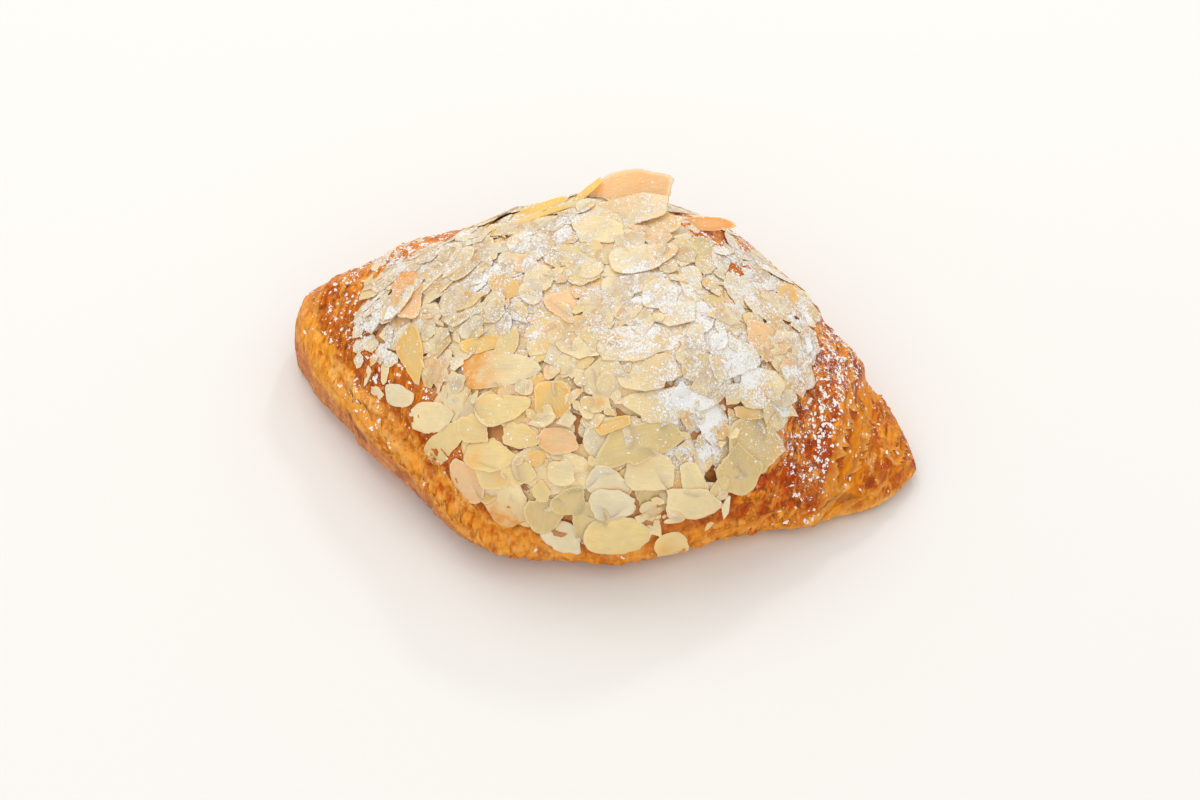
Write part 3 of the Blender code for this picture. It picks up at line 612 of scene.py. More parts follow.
def swept(nominal, angle):
    """Place along X of a point of the layer that has this nominal place."""
    sweep = np.interp(np.abs(nominal), (0.0, WRAP_SWEEP_FROM, RIGHT_END), (0.0, WRAP_SWEEP, 0.0))
    return nominal - np.sign(nominal) * sweep * (1 - np.maximum(np.sin(angle), 0.0))


def crust_points(nominal, angle, detail=None):
    """Points of the crust for a nominal place along X and an angle, both arrays of one shape.

    detail is a function of the plain points that gives finer relief and where the layers' edges wander to.
    """
    up = np.sin(angle)
    x = swept(nominal, angle)
    belly, middle = section(x)[3:]
    radius = plain_radius(x, angle)
    z = belly + radius * up
    finer, wander = 0.0, 0.0
    if detail:
        plain = np.stack((x, middle + radius * np.cos(angle), z), axis=-1)
        finer, wander = detail(nominal, x, angle, plain)
    relief = crust_relief(nominal + wander, x, angle, z) + finer * ramp(z, 0.5, 4.0) * end_share(x)
    radius = np.maximum(radius + relief, 0.0)
    floor = TIP_LIFT * ramp(x, RIGHT_END - TIP_LIFT_LENGTH, RIGHT_END)
    y = middle + radius * np.cos(angle)
    z = np.maximum(belly + radius * up, floor)
    return np.stack((x, y, z), axis=-1)


# --- The crust's fine relief and colour ---

def rough(points, size, seed, octaves=1):
    """Smooth random values from about -1 to 1 that change over the given size in millimetres."""
    shift = Vector((seed * 31.7, seed * 17.3, seed * 11.9))
    flat = points.reshape(-1, 3) / size
    if octaves == 1:
        values = [noise.noise(Vector(p) + shift) for p in flat]
    else:
        values = [noise.fractal(Vector(p) + shift, 1.0, 2.0, octaves) for p in flat]
    return np.array(values).reshape(points.shape[:-1])


def bubbles(points, size, seed):
    """Round bubbles of random height from 0 to 1, about one in each cube of the given size."""
    shift = Vector((seed * 13.1, seed * 7.7, seed * 5.3))
    found = [noise.voronoi(Vector(p) + shift) for p in points.reshape(-1, 3) / size]
    reach = np.array([distances[0] for distances, _ in found])
    strength = np.array([noise.cell(centres[0] * 7.31) for _, centres in found])
    height = np.maximum(1 - (reach / 0.62) ** 2, 0.0) * strength
    return height.reshape(points.shape[:-1])


def waves(place, points, spacing, wander, length, seed):
    """Waves from -1 to 1 across a place in millimetres, that wander from point to point."""
    return np.sin(math.tau * (place + wander * rough(points, length, seed)) / spacing)


def fold_shift(nominal, angle):
    """How far the tip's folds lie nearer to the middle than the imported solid's."""
    share = (np.maximum(np.sin(angle), 0.2) - 0.35) / 0.65
    return FOLD_SHIFT * share * ramp(nominal, 52.0, 58.0) * (1 - ramp(nominal, 70.0, 75.0))


def zones(nominal, x, angle, points):
    """Shares of the crust's differently baked parts, each from 0 to 1."""
    z = points[..., 2]
    near_side = -np.cos(angle) > 0
    above = z - seam_height(x, near_side)
    folded = nominal + fold_shift(nominal, angle)
    rim = rim_share(x, near_side)
    rim = np.where(near_side, np.maximum(rim, RIM_TEXTURE * (x < 44.0)), rim)
    split = (1 - ramp(above, -5.5, -2.5)) * (1 - ramp(x, 15.0, 35.0))
    return {
        "rim": rim * ramp(above, -6.5, -3.5) * (1 - ramp(above, 2.6, 4.4)),
        "hollow": rim * ramp(above, 2.8, 4.4) * (1 - ramp(above, 8.0, 12.0)),
        "wall": np.maximum(split, 1 - ramp(x, -74.5, -70.0)),
        "left": 1 - ramp(x, -48.0, -38.0),
        "right": ramp(x, 36.0, 44.0),
        "band": ramp(folded, 63.8, 64.8) * (1 - ramp(folded, 68.0, 69.4)),
        "tip": ramp(folded, 68.2, 69.4),
        "lip": ramp(x, 14.0, 26.0) * (1 - ramp(z, 2.5, 4.5)) * near_side,
        "under": 1 - ramp(z, 0.2, 1.6),
    }


def mark_shares(x, angle, wobble):
    """How much of each mark there is at each point, in the order of MARKS."""
    x = x + 0.7 * wobble
    radius = plain_radius(x, angle)
    for _, _, _, width, start, start_degrees, end, end_degrees in MARKS:
        turn = (angle - math.radians(start_degrees) + math.pi) % math.tau - math.pi
        u, v = x - start, radius * turn
        du, dv = end - start, radius * math.radians(end_degrees - start_degrees)
        t = np.clip((u * du + v * dv) / np.maximum(du * du + dv * dv, 1e-9), 0, 1)
        yield bump(np.hypot(u - t * du, v - t * dv), 0.0, width)


def crust_detail(nominal, x, angle, points):
    """Finer relief of the crust in millimetres and how far the layers' edges wander."""
    zone = zones(nominal, x, angle, points)
    z = points[..., 2]
    wander = sum(size * rough(points, length, seed) for size, length, seed in EDGE_WOBBLE)
    wander = wander + fold_shift(nominal, angle)
    glazed = (zone["left"] + zone["right"]) * (1 - zone["rim"]) * (1 - zone["wall"])
    finer = np.zeros_like(x)
    for (_, _, height, *_), here in zip(MARKS, mark_shares(x, angle, rough(points, *MARK_WOBBLE))):
        finer += height * here
    layers = TOP_LAYER_DEPTH * glazed * waves(nominal, points, *TOP_LAYERS)
    finer += layers * ramp(rough(points, 9.0, 12), -0.3, 0.4)
    finer += SIDE_LAYER_DEPTH * zone["wall"] * waves(z, points, *SIDE_LAYERS)
    finer += STREAK_DEPTH * np.maximum(zone["band"], 0.7 * zone["tip"]) * waves(nominal, points, *STREAKS)
    blistered = glazed * (1 - zone["band"]) * (1 + 0.8 * zone["right"])
    finer += BLISTER_HEIGHT * blistered * bubbles(points, BLISTER_SIZE, 15)
    finer += 0.22 * zone["right"] * (1 - zone["band"]) * (1 - zone["tip"]) * rough(points, 1.5, 20, octaves=2)
    above = z - seam_height(x, -np.cos(angle) > 0)
    finer += LIP_FILL * zone["rim"] * bump(above, 1.8, 1.9) * (1 - ramp(x, *RIM_SPAN[2:]))
    torn = np.maximum(zone["rim"], 0.35 * zone["hollow"]) * (0.35 + 0.65 * ramp(x, *SMOOTH_LIP))
    finer += CRUMB_DEPTH * torn * (rough(points, CRUMB_SIZE, 16, octaves=3) + 0.5 * rough(points, 0.9, 19))
    finer -= PORE_DEPTH * torn * bubbles(points, PORE_SIZE, 17)
    finer += 0.25 * rough(points, 4.0, 18, octaves=2)
    return finer, wander


def mixed(colour, share, other):
    """The colour with a share of another one at each point."""
    share = np.clip(share, 0, 1)[..., None]
    return colour * (1 - share) + np.array(other) * share


def crust_colours(nominal, x, angle, points, settings):
    """The crust's colour at each point, before the fine mottling of its material."""
    zone = zones(nominal, x, angle, points)
    broad = rough(points, 9.0, 21, octaves=2)
    middle_size = rough(points, 3.2, 22, octaves=2)
    small = rough(points, 1.4, 23)
    pits = rough(points, CRUMB_SIZE, 16, octaves=3)
    cut = ramp(-x, 72.0, 75.0)
    stripes = 0.5 + 0.5 * waves(points[..., 2], points, *SIDE_LAYERS)
    sheets = 0.5 + 0.5 * waves(nominal, points, *CUT_LAYERS)
    stripes = stripes * (1 - cut) + sheets * cut
    fibres = 0.5 + 0.5 * waves(nominal, points, *STREAKS)
    torn = np.maximum(zone["rim"], 0.5 * zone["hollow"]) * ramp(x, *SMOOTH_LIP)
    colour = np.ones(x.shape + (3,)) * np.array(settings.glaze)
    for name, share in (
            ("glaze_light", zone["left"] * (0.75 + 0.5 * broad)),
            ("glaze_dark_and_shade", zone["right"] * (0.9 + 0.4 * broad)),
            ("golden", zone["right"] * ramp(broad, 0.15, 0.5) * 0.35),
            ("bed", bed_share(x, angle) * (0.8 + 0.4 * middle_size)),
            ("hollow", zone["hollow"] * 0.75),
            ("wall", zone["wall"] * 0.85),
            ("wall_dark", zone["wall"] * stripes * (0.45 + 0.4 * cut)),
            ("scorched", zone["wall"] * ramp(broad, 0.05, 0.45) * ramp(x, -62.0, -50.0) * 0.6),
            ("golden", zone["rim"] * (0.9 + 0.2 * middle_size)),
            ("crumb", zone["rim"] * ramp(middle_size, -0.1, 0.45) * 0.6),
            ("glaze", zone["rim"] * ramp(-small, 0.2, 0.6) * 0.4),
            # The torn rim's low spots take the dark glaze: partly caramelised crust, partly painted shade in
            # its pits
            ("glaze_dark_and_shade", torn * ramp(-pits, -0.05, 0.25) * 0.75),
            ("crumb", torn * ramp(pits, 0.1, 0.45) * 0.5),
            ("band", zone["band"] * 0.9),
            ("golden", zone["band"] * fibres * 0.4),
            ("band", zone["tip"] * ramp(middle_size, -0.1, 0.4) * 0.6),
            ("crumb", zone["lip"] * (0.7 + 0.3 * small))):
        colour = mixed(colour, share, getattr(settings, name))
    wobble = rough(points, *MARK_WOBBLE)
    for (name, share, *_), here in zip(MARKS, mark_shares(x, angle, wobble)):
        colour = mixed(colour, share * ramp(here + 0.35 * wobble, 0.15, 0.75), getattr(settings, name))
    return mixed(colour, zone["under"] * 0.8, settings.underside)


def sugar_cover(x, y):
    """Share of an upward-facing surface that the sifted sugar covers at a place seen from above."""
    bare = 1 - SUGAR_EVERYWHERE - SUGAR_ON_TOP * ramp(y, *SUGAR_TOP_FROM)
    for middle_x, middle_y, radius, share in SUGAR_PATCHES:
        here = np.exp(-((x - middle_x) ** 2 + (y - middle_y) ** 2) / radius ** 2)
        bare = bare * (1 - share * here)
    spots = np.stack((x, y, np.zeros_like(x)), axis=-1)
    uneven = 1 + 0.6 * rough(spots, 5.0, 31, octaves=3) + 0.5 * rough(spots, 1.6, 32)
    ends = ramp(x, -74.0, -52.0) * (1 - ramp(x, 58.0, 64.0)) * ramp(y, -58.0, -34.0)
    return np.clip((1 - bare) * uneven, 0, 1) * (0.15 + 0.85 * ends)


# --- Laying almonds ---

def near_by(grid, reach, how):
    """Each cell's highest or mean value, as how says, with the cells up to the reach away."""
    steps = range(-reach, reach + 1)
    return how([np.roll(grid, (i, j), axis=(0, 1)) for i in steps for j in steps], axis=0)


def highest_near_by(grid):
    """Each cell's highest value near by, smoothed."""
    grid = near_by(grid, 2, np.max)
    for _ in range(2):
        grid = near_by(grid, 2, np.mean)
    return grid


class AlmondBed:
    """Lays flakes one by one on the crust and on each other, and keeps the height of the heap."""

    def __init__(self):
        self.along = np.arange(LEFT_END, RIGHT_END + GRID_STEP_ALONG, GRID_STEP_ALONG)
        self.round = np.arange(-60.0, 240.0, GRID_STEP_ROUND)
        x, degrees = np.meshgrid(self.along, self.round, indexing="ij")
        angle = np.radians(degrees)
        bare = self.surface(x, angle)
        self.bare = crust_relief(x, x, angle, bare[..., 2]) + BED_DEPTH
        self.height = self.bare.copy()
        self.inside = in_heap(x, degrees)
        self.outside = self.inside < 0
        self.layers = np.zeros_like(self.height)
        self.kept_clear = np.zeros_like(self.height, dtype=bool)

    def level_out(self):
        """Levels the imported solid's flakes to an even heap, on which the real, thinner slices lie."""
        level = highest_near_by(np.where(self.layers > 0, self.height, self.bare))
        full = np.where(self.layers > 0, ramp(self.inside, *HEAP_THINS), 0.0)
        x, degrees = self.along[:, None], self.round[None]
        drop = HEAP_DROP + SHOULDER_DROP * ramp(x, *SHOULDER_ALONG) * (1 - ramp(degrees, *SHOULDER_ROUND))
        self.height = self.bare + full * np.maximum(level - drop - self.bare, 0.0)
        self.layers[:] = 0
        self.kept_clear |= self.outside

    def fill_hollows(self, slope_too=False):
        """Levels the heap between its slices; on the near slope only if asked, and lower there."""
        level = highest_near_by(np.where(self.layers > 0, self.height, 0.0))
        slope = ramp(self.round, *SLOPE_FROM)
        level = np.maximum(level - LEVEL_DROP - SLOPE_DROP * slope, 0.0)
        filled = (self.layers > 0) & (slope_too | (slope < 0.5))
        self.height = np.where(filled, level, self.height)

    def level_at(self, x, degrees):
        """The heap's height between the grid's cells."""
        i = np.clip((x - self.along[0]) / GRID_STEP_ALONG, 0, len(self.along) - 1.001)
        j = np.clip((degrees - self.round[0]) / GRID_STEP_ROUND, 0, len(self.round) - 1.001)
        left, low = i.astype(int), j.astype(int)
        u, v = i - left, j - low
        grid = self.height
        return ((1 - u) * (1 - v) * grid[left, low] + u * (1 - v) * grid[left + 1, low]
                + (1 - u) * v * grid[left, low + 1] + u * v * grid[left + 1, low + 1])

    def surface(self, x, angle):
        """The smooth bed under the almonds."""
        belly, middle = section(x)[3:]
        radius = plain_radius(x, angle) - BED_DEPTH
        return np.stack((x, middle + radius * np.cos(angle), belly + radius * np.sin(angle)), axis=-1)

    def frame(self, x, angle):
        """A point of the bed with its two directions and its outward normal."""
        xs = x + PROBE_STEP * np.array([0, -1, 1, 0, 0])
        angles = angle + PROBE_TURN * np.array([0, 0, 0, -1, 1])
        points = self.surface(xs, angles)
        along = points[2] - points[1]
        along = along / np.linalg.norm(along)
        across = points[4] - points[3]
        normal = np.cross(across, along)
        normal = normal / np.linalg.norm(normal)
        return points[0], along, np.cross(along, normal), normal

    def cells(self, points):
        """The grid cell under each point and the point's distance above the bed."""
        x = np.clip(points[:, 0], LEFT_END + 1.0, RIGHT_END - 1.0)
        belly, middle = section(x)[3:]
        across, up = points[:, 1] - middle, points[:, 2] - belly
        angle = np.arctan2(up, across)
        angle = np.where(angle < -math.pi / 2, angle + math.tau, angle)
        above = np.hypot(across, up) - (plain_radius(x, angle) - BED_DEPTH)
        i = np.clip(np.round((x - self.along[0]) / GRID_STEP_ALONG).astype(int), 0, len(self.along) - 1)
        j = np.round((np.degrees(angle) - self.round[0]) / GRID_STEP_ROUND).astype(int)
        return i, np.clip(j, 0, len(self.round) - 1), above

    def settle(self, x, angle, outline, curl, tilt=(0.0, 0.0), thickness=FLAKE_THICKNESS, keep_clear=False,
               bearing=FLAKE_BEARING):
        """Settles one flake on the heap and returns how it lies."""
        point, along, across, normal = self.frame(x, angle)
        inner = np.concatenate((outline, points_inside(outline)))
        flat = point + inner[:, :1] * along + inner[:, 1:] * across
        i, j, _ = self.cells(flat)
        height = self.height[i, j]
        plane = np.column_stack((np.ones(len(inner)), inner))
        fit = np.linalg.lstsq(plane, height, rcond=None)[0]
        fit[1:] = np.clip(fit[1:], -FLAKE_MAX_SLOPE, FLAKE_MAX_SLOPE) + tilt
        fit[0] += np.quantile(height - plane @ fit, bearing) - FLAKE_SINK
        reach = np.sum(inner ** 2, axis=1)
        far, mean = reach.max(), reach.mean() / reach.max()
        lift = plane @ fit + curl * (reach / far - mean)
        self.height[i, j] = np.maximum(height, lift + thickness)
        self.layers[i, j] += 1
        if keep_clear:
            self.kept_clear[i, j] = True
        return Settled(point, along, across, normal, fit, curl, far, mean)

    def place(self, rest, footprint, height):
        """Points over a settled flake's footprint, at a height above its underside."""
        flat = rest.point + footprint[:, :1] * rest.along + footprint[:, 1:] * rest.across
        above = self.cells(flat)[2]
        reach = np.sum(footprint ** 2, axis=1)
        lift = rest.fit[0] + footprint @ rest.fit[1:] + rest.curl * (reach / rest.far - rest.mean)
        return flat + (lift - above + height)[:, None] * rest.normal


def points_inside(outline):
    """An even grid of points inside an outline that bulges everywhere."""
    reach = np.arange(-0.6 * FLAKE_LENGTH[1], 0.6 * FLAKE_LENGTH[1], FOOTPRINT_STEP)
    points = np.stack(np.meshgrid(reach, reach), axis=-1).reshape(-1, 2)
    edges = np.roll(outline, -1, axis=0) - outline
    offsets = points[:, None] - outline[None]
    sides = edges[:, 0] * offsets[..., 1] - edges[:, 1] * offsets[..., 0]
    return points[np.all(sides > 0, axis=1)]


def almond_outline(length, width, sides):
    """A slice through an almond, round at one end and pointed at the other."""
    t = np.linspace(0, math.tau, sides, endpoint=False)
    x = 0.5 * length * np.cos(t)
    y = 0.5 * width * np.sin(t) * (1 - FLAKE_TAPER * np.cos(t))
    return np.column_stack((x, y))


def flake_outline(length, width, break_turn=0.0, break_place=None):
    """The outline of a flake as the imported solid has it."""
    points = almond_outline(length, width, FLAKE_SIDES)
    if break_place is None:
        return points
    direction = np.array((math.cos(break_turn), math.sin(break_turn)))
    limit = break_place * np.abs(points @ direction).max()
    kept = []
    for a, b in zip(points, np.roll(points, -1, axis=0)):
        side_a, side_b = limit - a @ direction, limit - b @ direction
        if side_a >= 0:
            kept.append(a)
        if side_a * side_b < 0:
            kept.append(a + (b - a) * side_a / (side_a - side_b))
    return np.array(kept) - np.mean(kept, axis=0)


def turned(outline, degrees):
    """The outline turned in its own plane."""
    turn = math.radians(degrees)
    return outline @ np.array(((math.cos(turn), math.sin(turn)), (-math.sin(turn), math.cos(turn))))


def spread_flakes(bed, rng):
    """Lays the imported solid's flakes where the heap is lowest, out to the edge of the bed."""
    for _ in range(FLAKE_COUNT):
        length = rng.uniform(*FLAKE_LENGTH)
        width = length * rng.uniform(*FLAKE_SLENDERNESS)
        broken = rng.random() < BROKEN_SHARE
        break_turn, break_place = rng.uniform(*BREAK_TURN), rng.uniform(*BREAK_PLACE)
        outline = flake_outline(length, width, break_turn, break_place if broken else None)
        turn, curl = rng.uniform(0, 360), rng.uniform(-FLAKE_CURL, FLAKE_CURL)
        tilt = rng.uniform(-FLAKE_TILT, FLAKE_TILT, 2)
        x, angle = least_covered(bed, rng)
        bed.settle(x, angle, turned(outline, turn), curl, tilt)


def in_heap(x, degrees):
    """How far a place lies to the right of the heap's left edge, in millimetres."""
    edge = np.array(HEAP_EDGE)
    return x - np.interp(degrees, edge[:, 0], edge[:, 1])


def least_covered(bed, rng):
    """Of several chance places in the bed, the one with the fewest flakes on it."""
    xs = rng.uniform(BED[0, 0], BED[-1, 0], CANDIDATES)
    shares = rng.uniform(0, 1, CANDIDATES)
    far_end, near_end = bed_ends(xs)
    angles = np.radians(far_end + shares * (near_end - far_end))
    i, j, _ = bed.cells(bed.surface(xs, angles))
    best = np.argmin(bed.layers[i, j] + 100 * bed.kept_clear[i, j])
    return xs[best], angles[best]


def lay_almonds():
    """The bed with all its slices laid: first those spread by chance, then those that stand out."""
    bed = AlmondBed()
    spread_flakes(bed, np.random.default_rng(SEED))
    bed.level_out()
    rng = np.random.default_rng(SEED + 5)
    laid = []
    for _ in range(SLICE_COUNT):
        length, turn = rng.uniform(*SLICE_LENGTH), rng.uniform(0, 360)
        width = length * rng.uniform(*FLAKE_SLENDERNESS)
        tilt, curl = rng.uniform(-SLICE_TILT, SLICE_TILT, 2), rng.uniform(-SLICE_CURL, SLICE_CURL)
        x, angle = least_covered(bed, rng)
        degrees = math.degrees(angle)
        on_slope = degrees > SLOPE_FROM[1]
        tones = SLOPE_TONES[int(x > SLOPE_MIDDLE)] if on_slope else TOP_TONES
        tone = tones[rng.integers(len(tones))]
        sugar = rng.uniform(*SLOPE_SUGAR) if on_slope else 1.0
        outline = turned(flake_outline(length, width), turn)
        rest = bed.settle(x, angle, outline, curl, tilt, SLICE_GAP, bearing=SLICE_BEARING)
        laid.append(Flake(rest, length, width, turn, tone, 0, sugar, ()))
    for x, degrees, length, width, turn, tone, toasted, sugar, cuts, *rise in STANDING_SLICES:
        outline = turned(flake_outline(length, width), turn)
        tilt = rise or (0.0, 0.0)
        heap = bed.height.copy()
        rest = bed.settle(x, math.radians(degrees), outline, STANDING_CURL, tilt, SLICE_GAP, True,
                          SLICE_BEARING)
        if rise:
            # Nothing else lies on a slice that stands up
            bed.height = heap
        sugar = STANDING_SUGAR + (1 - STANDING_SUGAR) * sugar
        laid.append(Flake(rest, length, width, turn, tone, toasted, sugar, cuts))
    bed.kept_clear &= ~bed.outside
    return bed, laid


def chipped(outline, sides, cuts, rng):
    """The outline at even directions from its middle, with a straight break at each cut.

    A cut is its direction in degrees and how far out it lies, as a share of the outline's reach that way.
    """
    turn = np.linspace(0, math.tau, sides, endpoint=False)
    bearing = np.arctan2(outline[:, 1], outline[:, 0])
    order = np.argsort(bearing)
    reach = np.interp(turn, bearing[order], np.hypot(*outline[order].T), period=math.tau)
    phases = rng.uniform(0, math.tau, 2)
    reach = reach * (1 + 0.05 * np.sin(2 * turn + phases[0]) + 0.03 * np.sin(5 * turn + phases[1]))
    reach = reach * rng.uniform(1 - 0.4 * JAG, 1 + 0.4 * JAG, sides)
    dent, place, spread = rng.uniform(*SLICE_NOTCH), rng.uniform(0, math.tau), rng.uniform(0.12, 0.35)
    away = (turn - place + math.pi) % math.tau - math.pi
    reach = reach * (1 - dent * bump(away, 0.0, spread))
    for degrees, share in cuts:
        bearing = math.radians(degrees)
        limit = share * np.max(outline @ (math.cos(bearing), math.sin(bearing)))
        facing = np.maximum(np.cos(turn - bearing), 0.01)
        reach = np.minimum(reach, limit / facing * (1 + rng.uniform(-JAG, JAG, sides)))
    return np.column_stack((reach * np.cos(turn), reach * np.sin(turn)))


def fragment_outline(length, width, sides, rng):
    """A broken piece with straight edges between a few chance corners."""
    count = rng.integers(PIECE_CORNERS[0], PIECE_CORNERS[1] + 1)
    bearing = (np.arange(count) + rng.uniform(-0.3, 0.3, count)) / count * math.tau
    reach = rng.uniform(0.75, 1.05, count)
    corners = 0.5 * np.column_stack((length * reach * np.cos(bearing), width * reach * np.sin(bearing)))
    place = np.arange(sides) * count / sides
    nearest = np.round(place)
    place = np.where(np.abs(place - nearest) <= 0.5 * count / sides, nearest, place)
    around = np.arange(count + 1)
    closed = np.vstack((corners, corners[:1]))
    outline = np.column_stack([np.interp(place, around, closed[:, k]) for k in (0, 1)])
    inside = np.where(place == nearest, 1.0, rng.uniform(0.93, 1.07, sides))
    return outline * inside[:, None]


def chance_cuts(count, place, rng):
    """Breaks at chance directions."""
    return [(rng.uniform(0, 360), rng.uniform(*place)) for _ in range(rng.integers(0, count + 1))]


def slice_outline(flake, rng):
    """The outline of a real slice, whole or broken, with small chips."""
    if flake.length < FRAGMENT_LENGTH and flake.width > FRAGMENT_WIDTH:
        return fragment_outline(flake.length, flake.width, SLICE_SIDES, rng)
    outline = almond_outline(flake.length, flake.width, 4 * SLICE_SIDES)
    if flake.cuts:
        cuts = list(flake.cuts) + chance_cuts(2, EXTRA_CHIP_PLACE, rng)
    else:
        cuts = chance_cuts(SLICE_CHIPS, CHIP_PLACE, rng)
    return chipped(outline, SLICE_SIDES, cuts, rng)


# --- Making meshes ---

def read(items, name, width=1, kind=float):
    """One property of all of a mesh's items, in rows of the width where that is more than 1."""
    values = np.empty(len(items) * width, dtype=kind)
    items.foreach_get(name, values)
    return values.reshape(-1, width) if width > 1 else values


def deselect_all():
    """Leaves nothing selected, so that an operator acts only on what comes next."""
    for thing in bpy.context.selected_objects:
        thing.select_set(False)


def shape_template(add, name, shape=None):
    """Adds a primitive, shapes it in edit mode and returns its vertices and triangles as arrays."""
    deselect_all()
    add()
    template = bpy.context.active_object
    template.name = name
    bpy.ops.object.mode_set(mode="EDIT")
    if shape:
        shape(template)
    bpy.ops.mesh.select_all(action="SELECT")
    bpy.ops.mesh.quads_convert_to_tris()
    bpy.ops.object.mode_set(mode="OBJECT")
    points = np.array([vertex.co for vertex in template.data.vertices])
    triangles = np.array([face.vertices for face in template.data.polygons])
    bpy.data.objects.remove(template)
    return points, triangles


def ball_template(name):
    """A coarse ball of unit radius, as vertices and triangles."""
    return shape_template(lambda: bpy.ops.mesh.primitive_ico_sphere_add(subdivisions=1, radius=1), name)


def slice_template(sides):
    """A slice of unit radius and thickness, its underside cut in, shaped once and copied for every slice.

    Returns, for each vertex, its share of the way out to the rim, its direction's number and its height, and
    the triangles.
    """
    def add():
        bpy.ops.mesh.primitive_cylinder_add(vertices=sides, radius=1, depth=1)

    def select_cap(template, up):
        edited = bmesh.from_edit_mesh(template.data)
        bpy.ops.mesh.select_mode(type="FACE")
        bpy.ops.mesh.select_all(action="DESELECT")
        for face in edited.faces:
            face.select_set(len(face.verts) == sides and face.normal.z * up > 0.5)
        edited.select_flush_mode()
        bmesh.update_edit_mesh(template.data)

    def shape(template):
        select_cap(template, 1)
        for inset in (0.12, 0.2, 0.3):
            bpy.ops.mesh.inset(thickness=inset)
        bpy.ops.mesh.poke()
        select_cap(template, -1)
        bpy.ops.transform.resize(value=(0.8, 0.8, 1))
        bpy.ops.mesh.inset(thickness=0.4)
        bpy.ops.mesh.poke()

    points, triangles = shape_template(add, "slice", shape)
    reach = np.hypot(points[:, 0], points[:, 1])
    turn = np.arctan2(points[:, 1], points[:, 0])
    column = np.round(turn / math.tau * sides).astype(int) % sides
    on_top = points[:, 2] > 0
    rim = on_top & (reach > 0.99)
    reach = np.where(on_top, np.interp(reach, (0, 0.38, 0.68, 0.88, 1), (0, 0.5, 0.82, 0.96, 1)), reach)
    return reach, column, points[:, 2] + 0.5 - 0.04 * rim, triangles


def joined_mesh(name, points, triangles):
    """One mesh from arrays of points in millimetres and triangles."""
    mesh = bpy.data.meshes.new(name)
    mesh.from_pydata(points * MM, [], triangles)
    mesh.shade_smooth()
    made = bpy.data.objects.new(name, mesh)
    bpy.context.scene.collection.objects.link(made)
    return made


def signed_volume(points, triangles):
    """Positive where the triangles face out of the shape."""
    a, b, c = points[triangles[:, 0]], points[triangles[:, 1]], points[triangles[:, 2]]
    return np.sum(a * np.cross(b, c))


def store_values(made, name, values):
    """Stores one number for each vertex."""
    attribute = made.data.attributes.new(name, "FLOAT", "POINT")
    attribute.data.foreach_set("value", values.astype(np.float32).ravel())


def store_colours(made, name, colours):
    """Stores one linear colour for each vertex."""
    full = np.concatenate((colours.reshape(-1, 3), np.ones((colours.size // 3, 1))), axis=1)
    attribute = made.data.attributes.new(name, "FLOAT_COLOR", "POINT")
    attribute.data.foreach_set("color", full.astype(np.float32).ravel())


def points_of(made):
    """The vertices of a piece in millimetres and their normals."""
    return read(made.data.vertices, "co", 3) / MM, read(made.data.vertices, "normal", 3)


def dust(made, share=1.0):
    """Stores how much sugar covers each vertex of a piece."""
    points, normals = points_of(made)
    settled = ramp(normals[:, 2], *SUGAR_FLAT)
    cover = sugar_cover(points[:, 0], points[:, 1]) * settled * share
    store_values(made, "sugar", cover)


def finish_piece(made, material):
    """Gives a piece its material and the body that carries it."""
    made.data.materials.append(material)
    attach(made, BODY)


# --- Materials ---

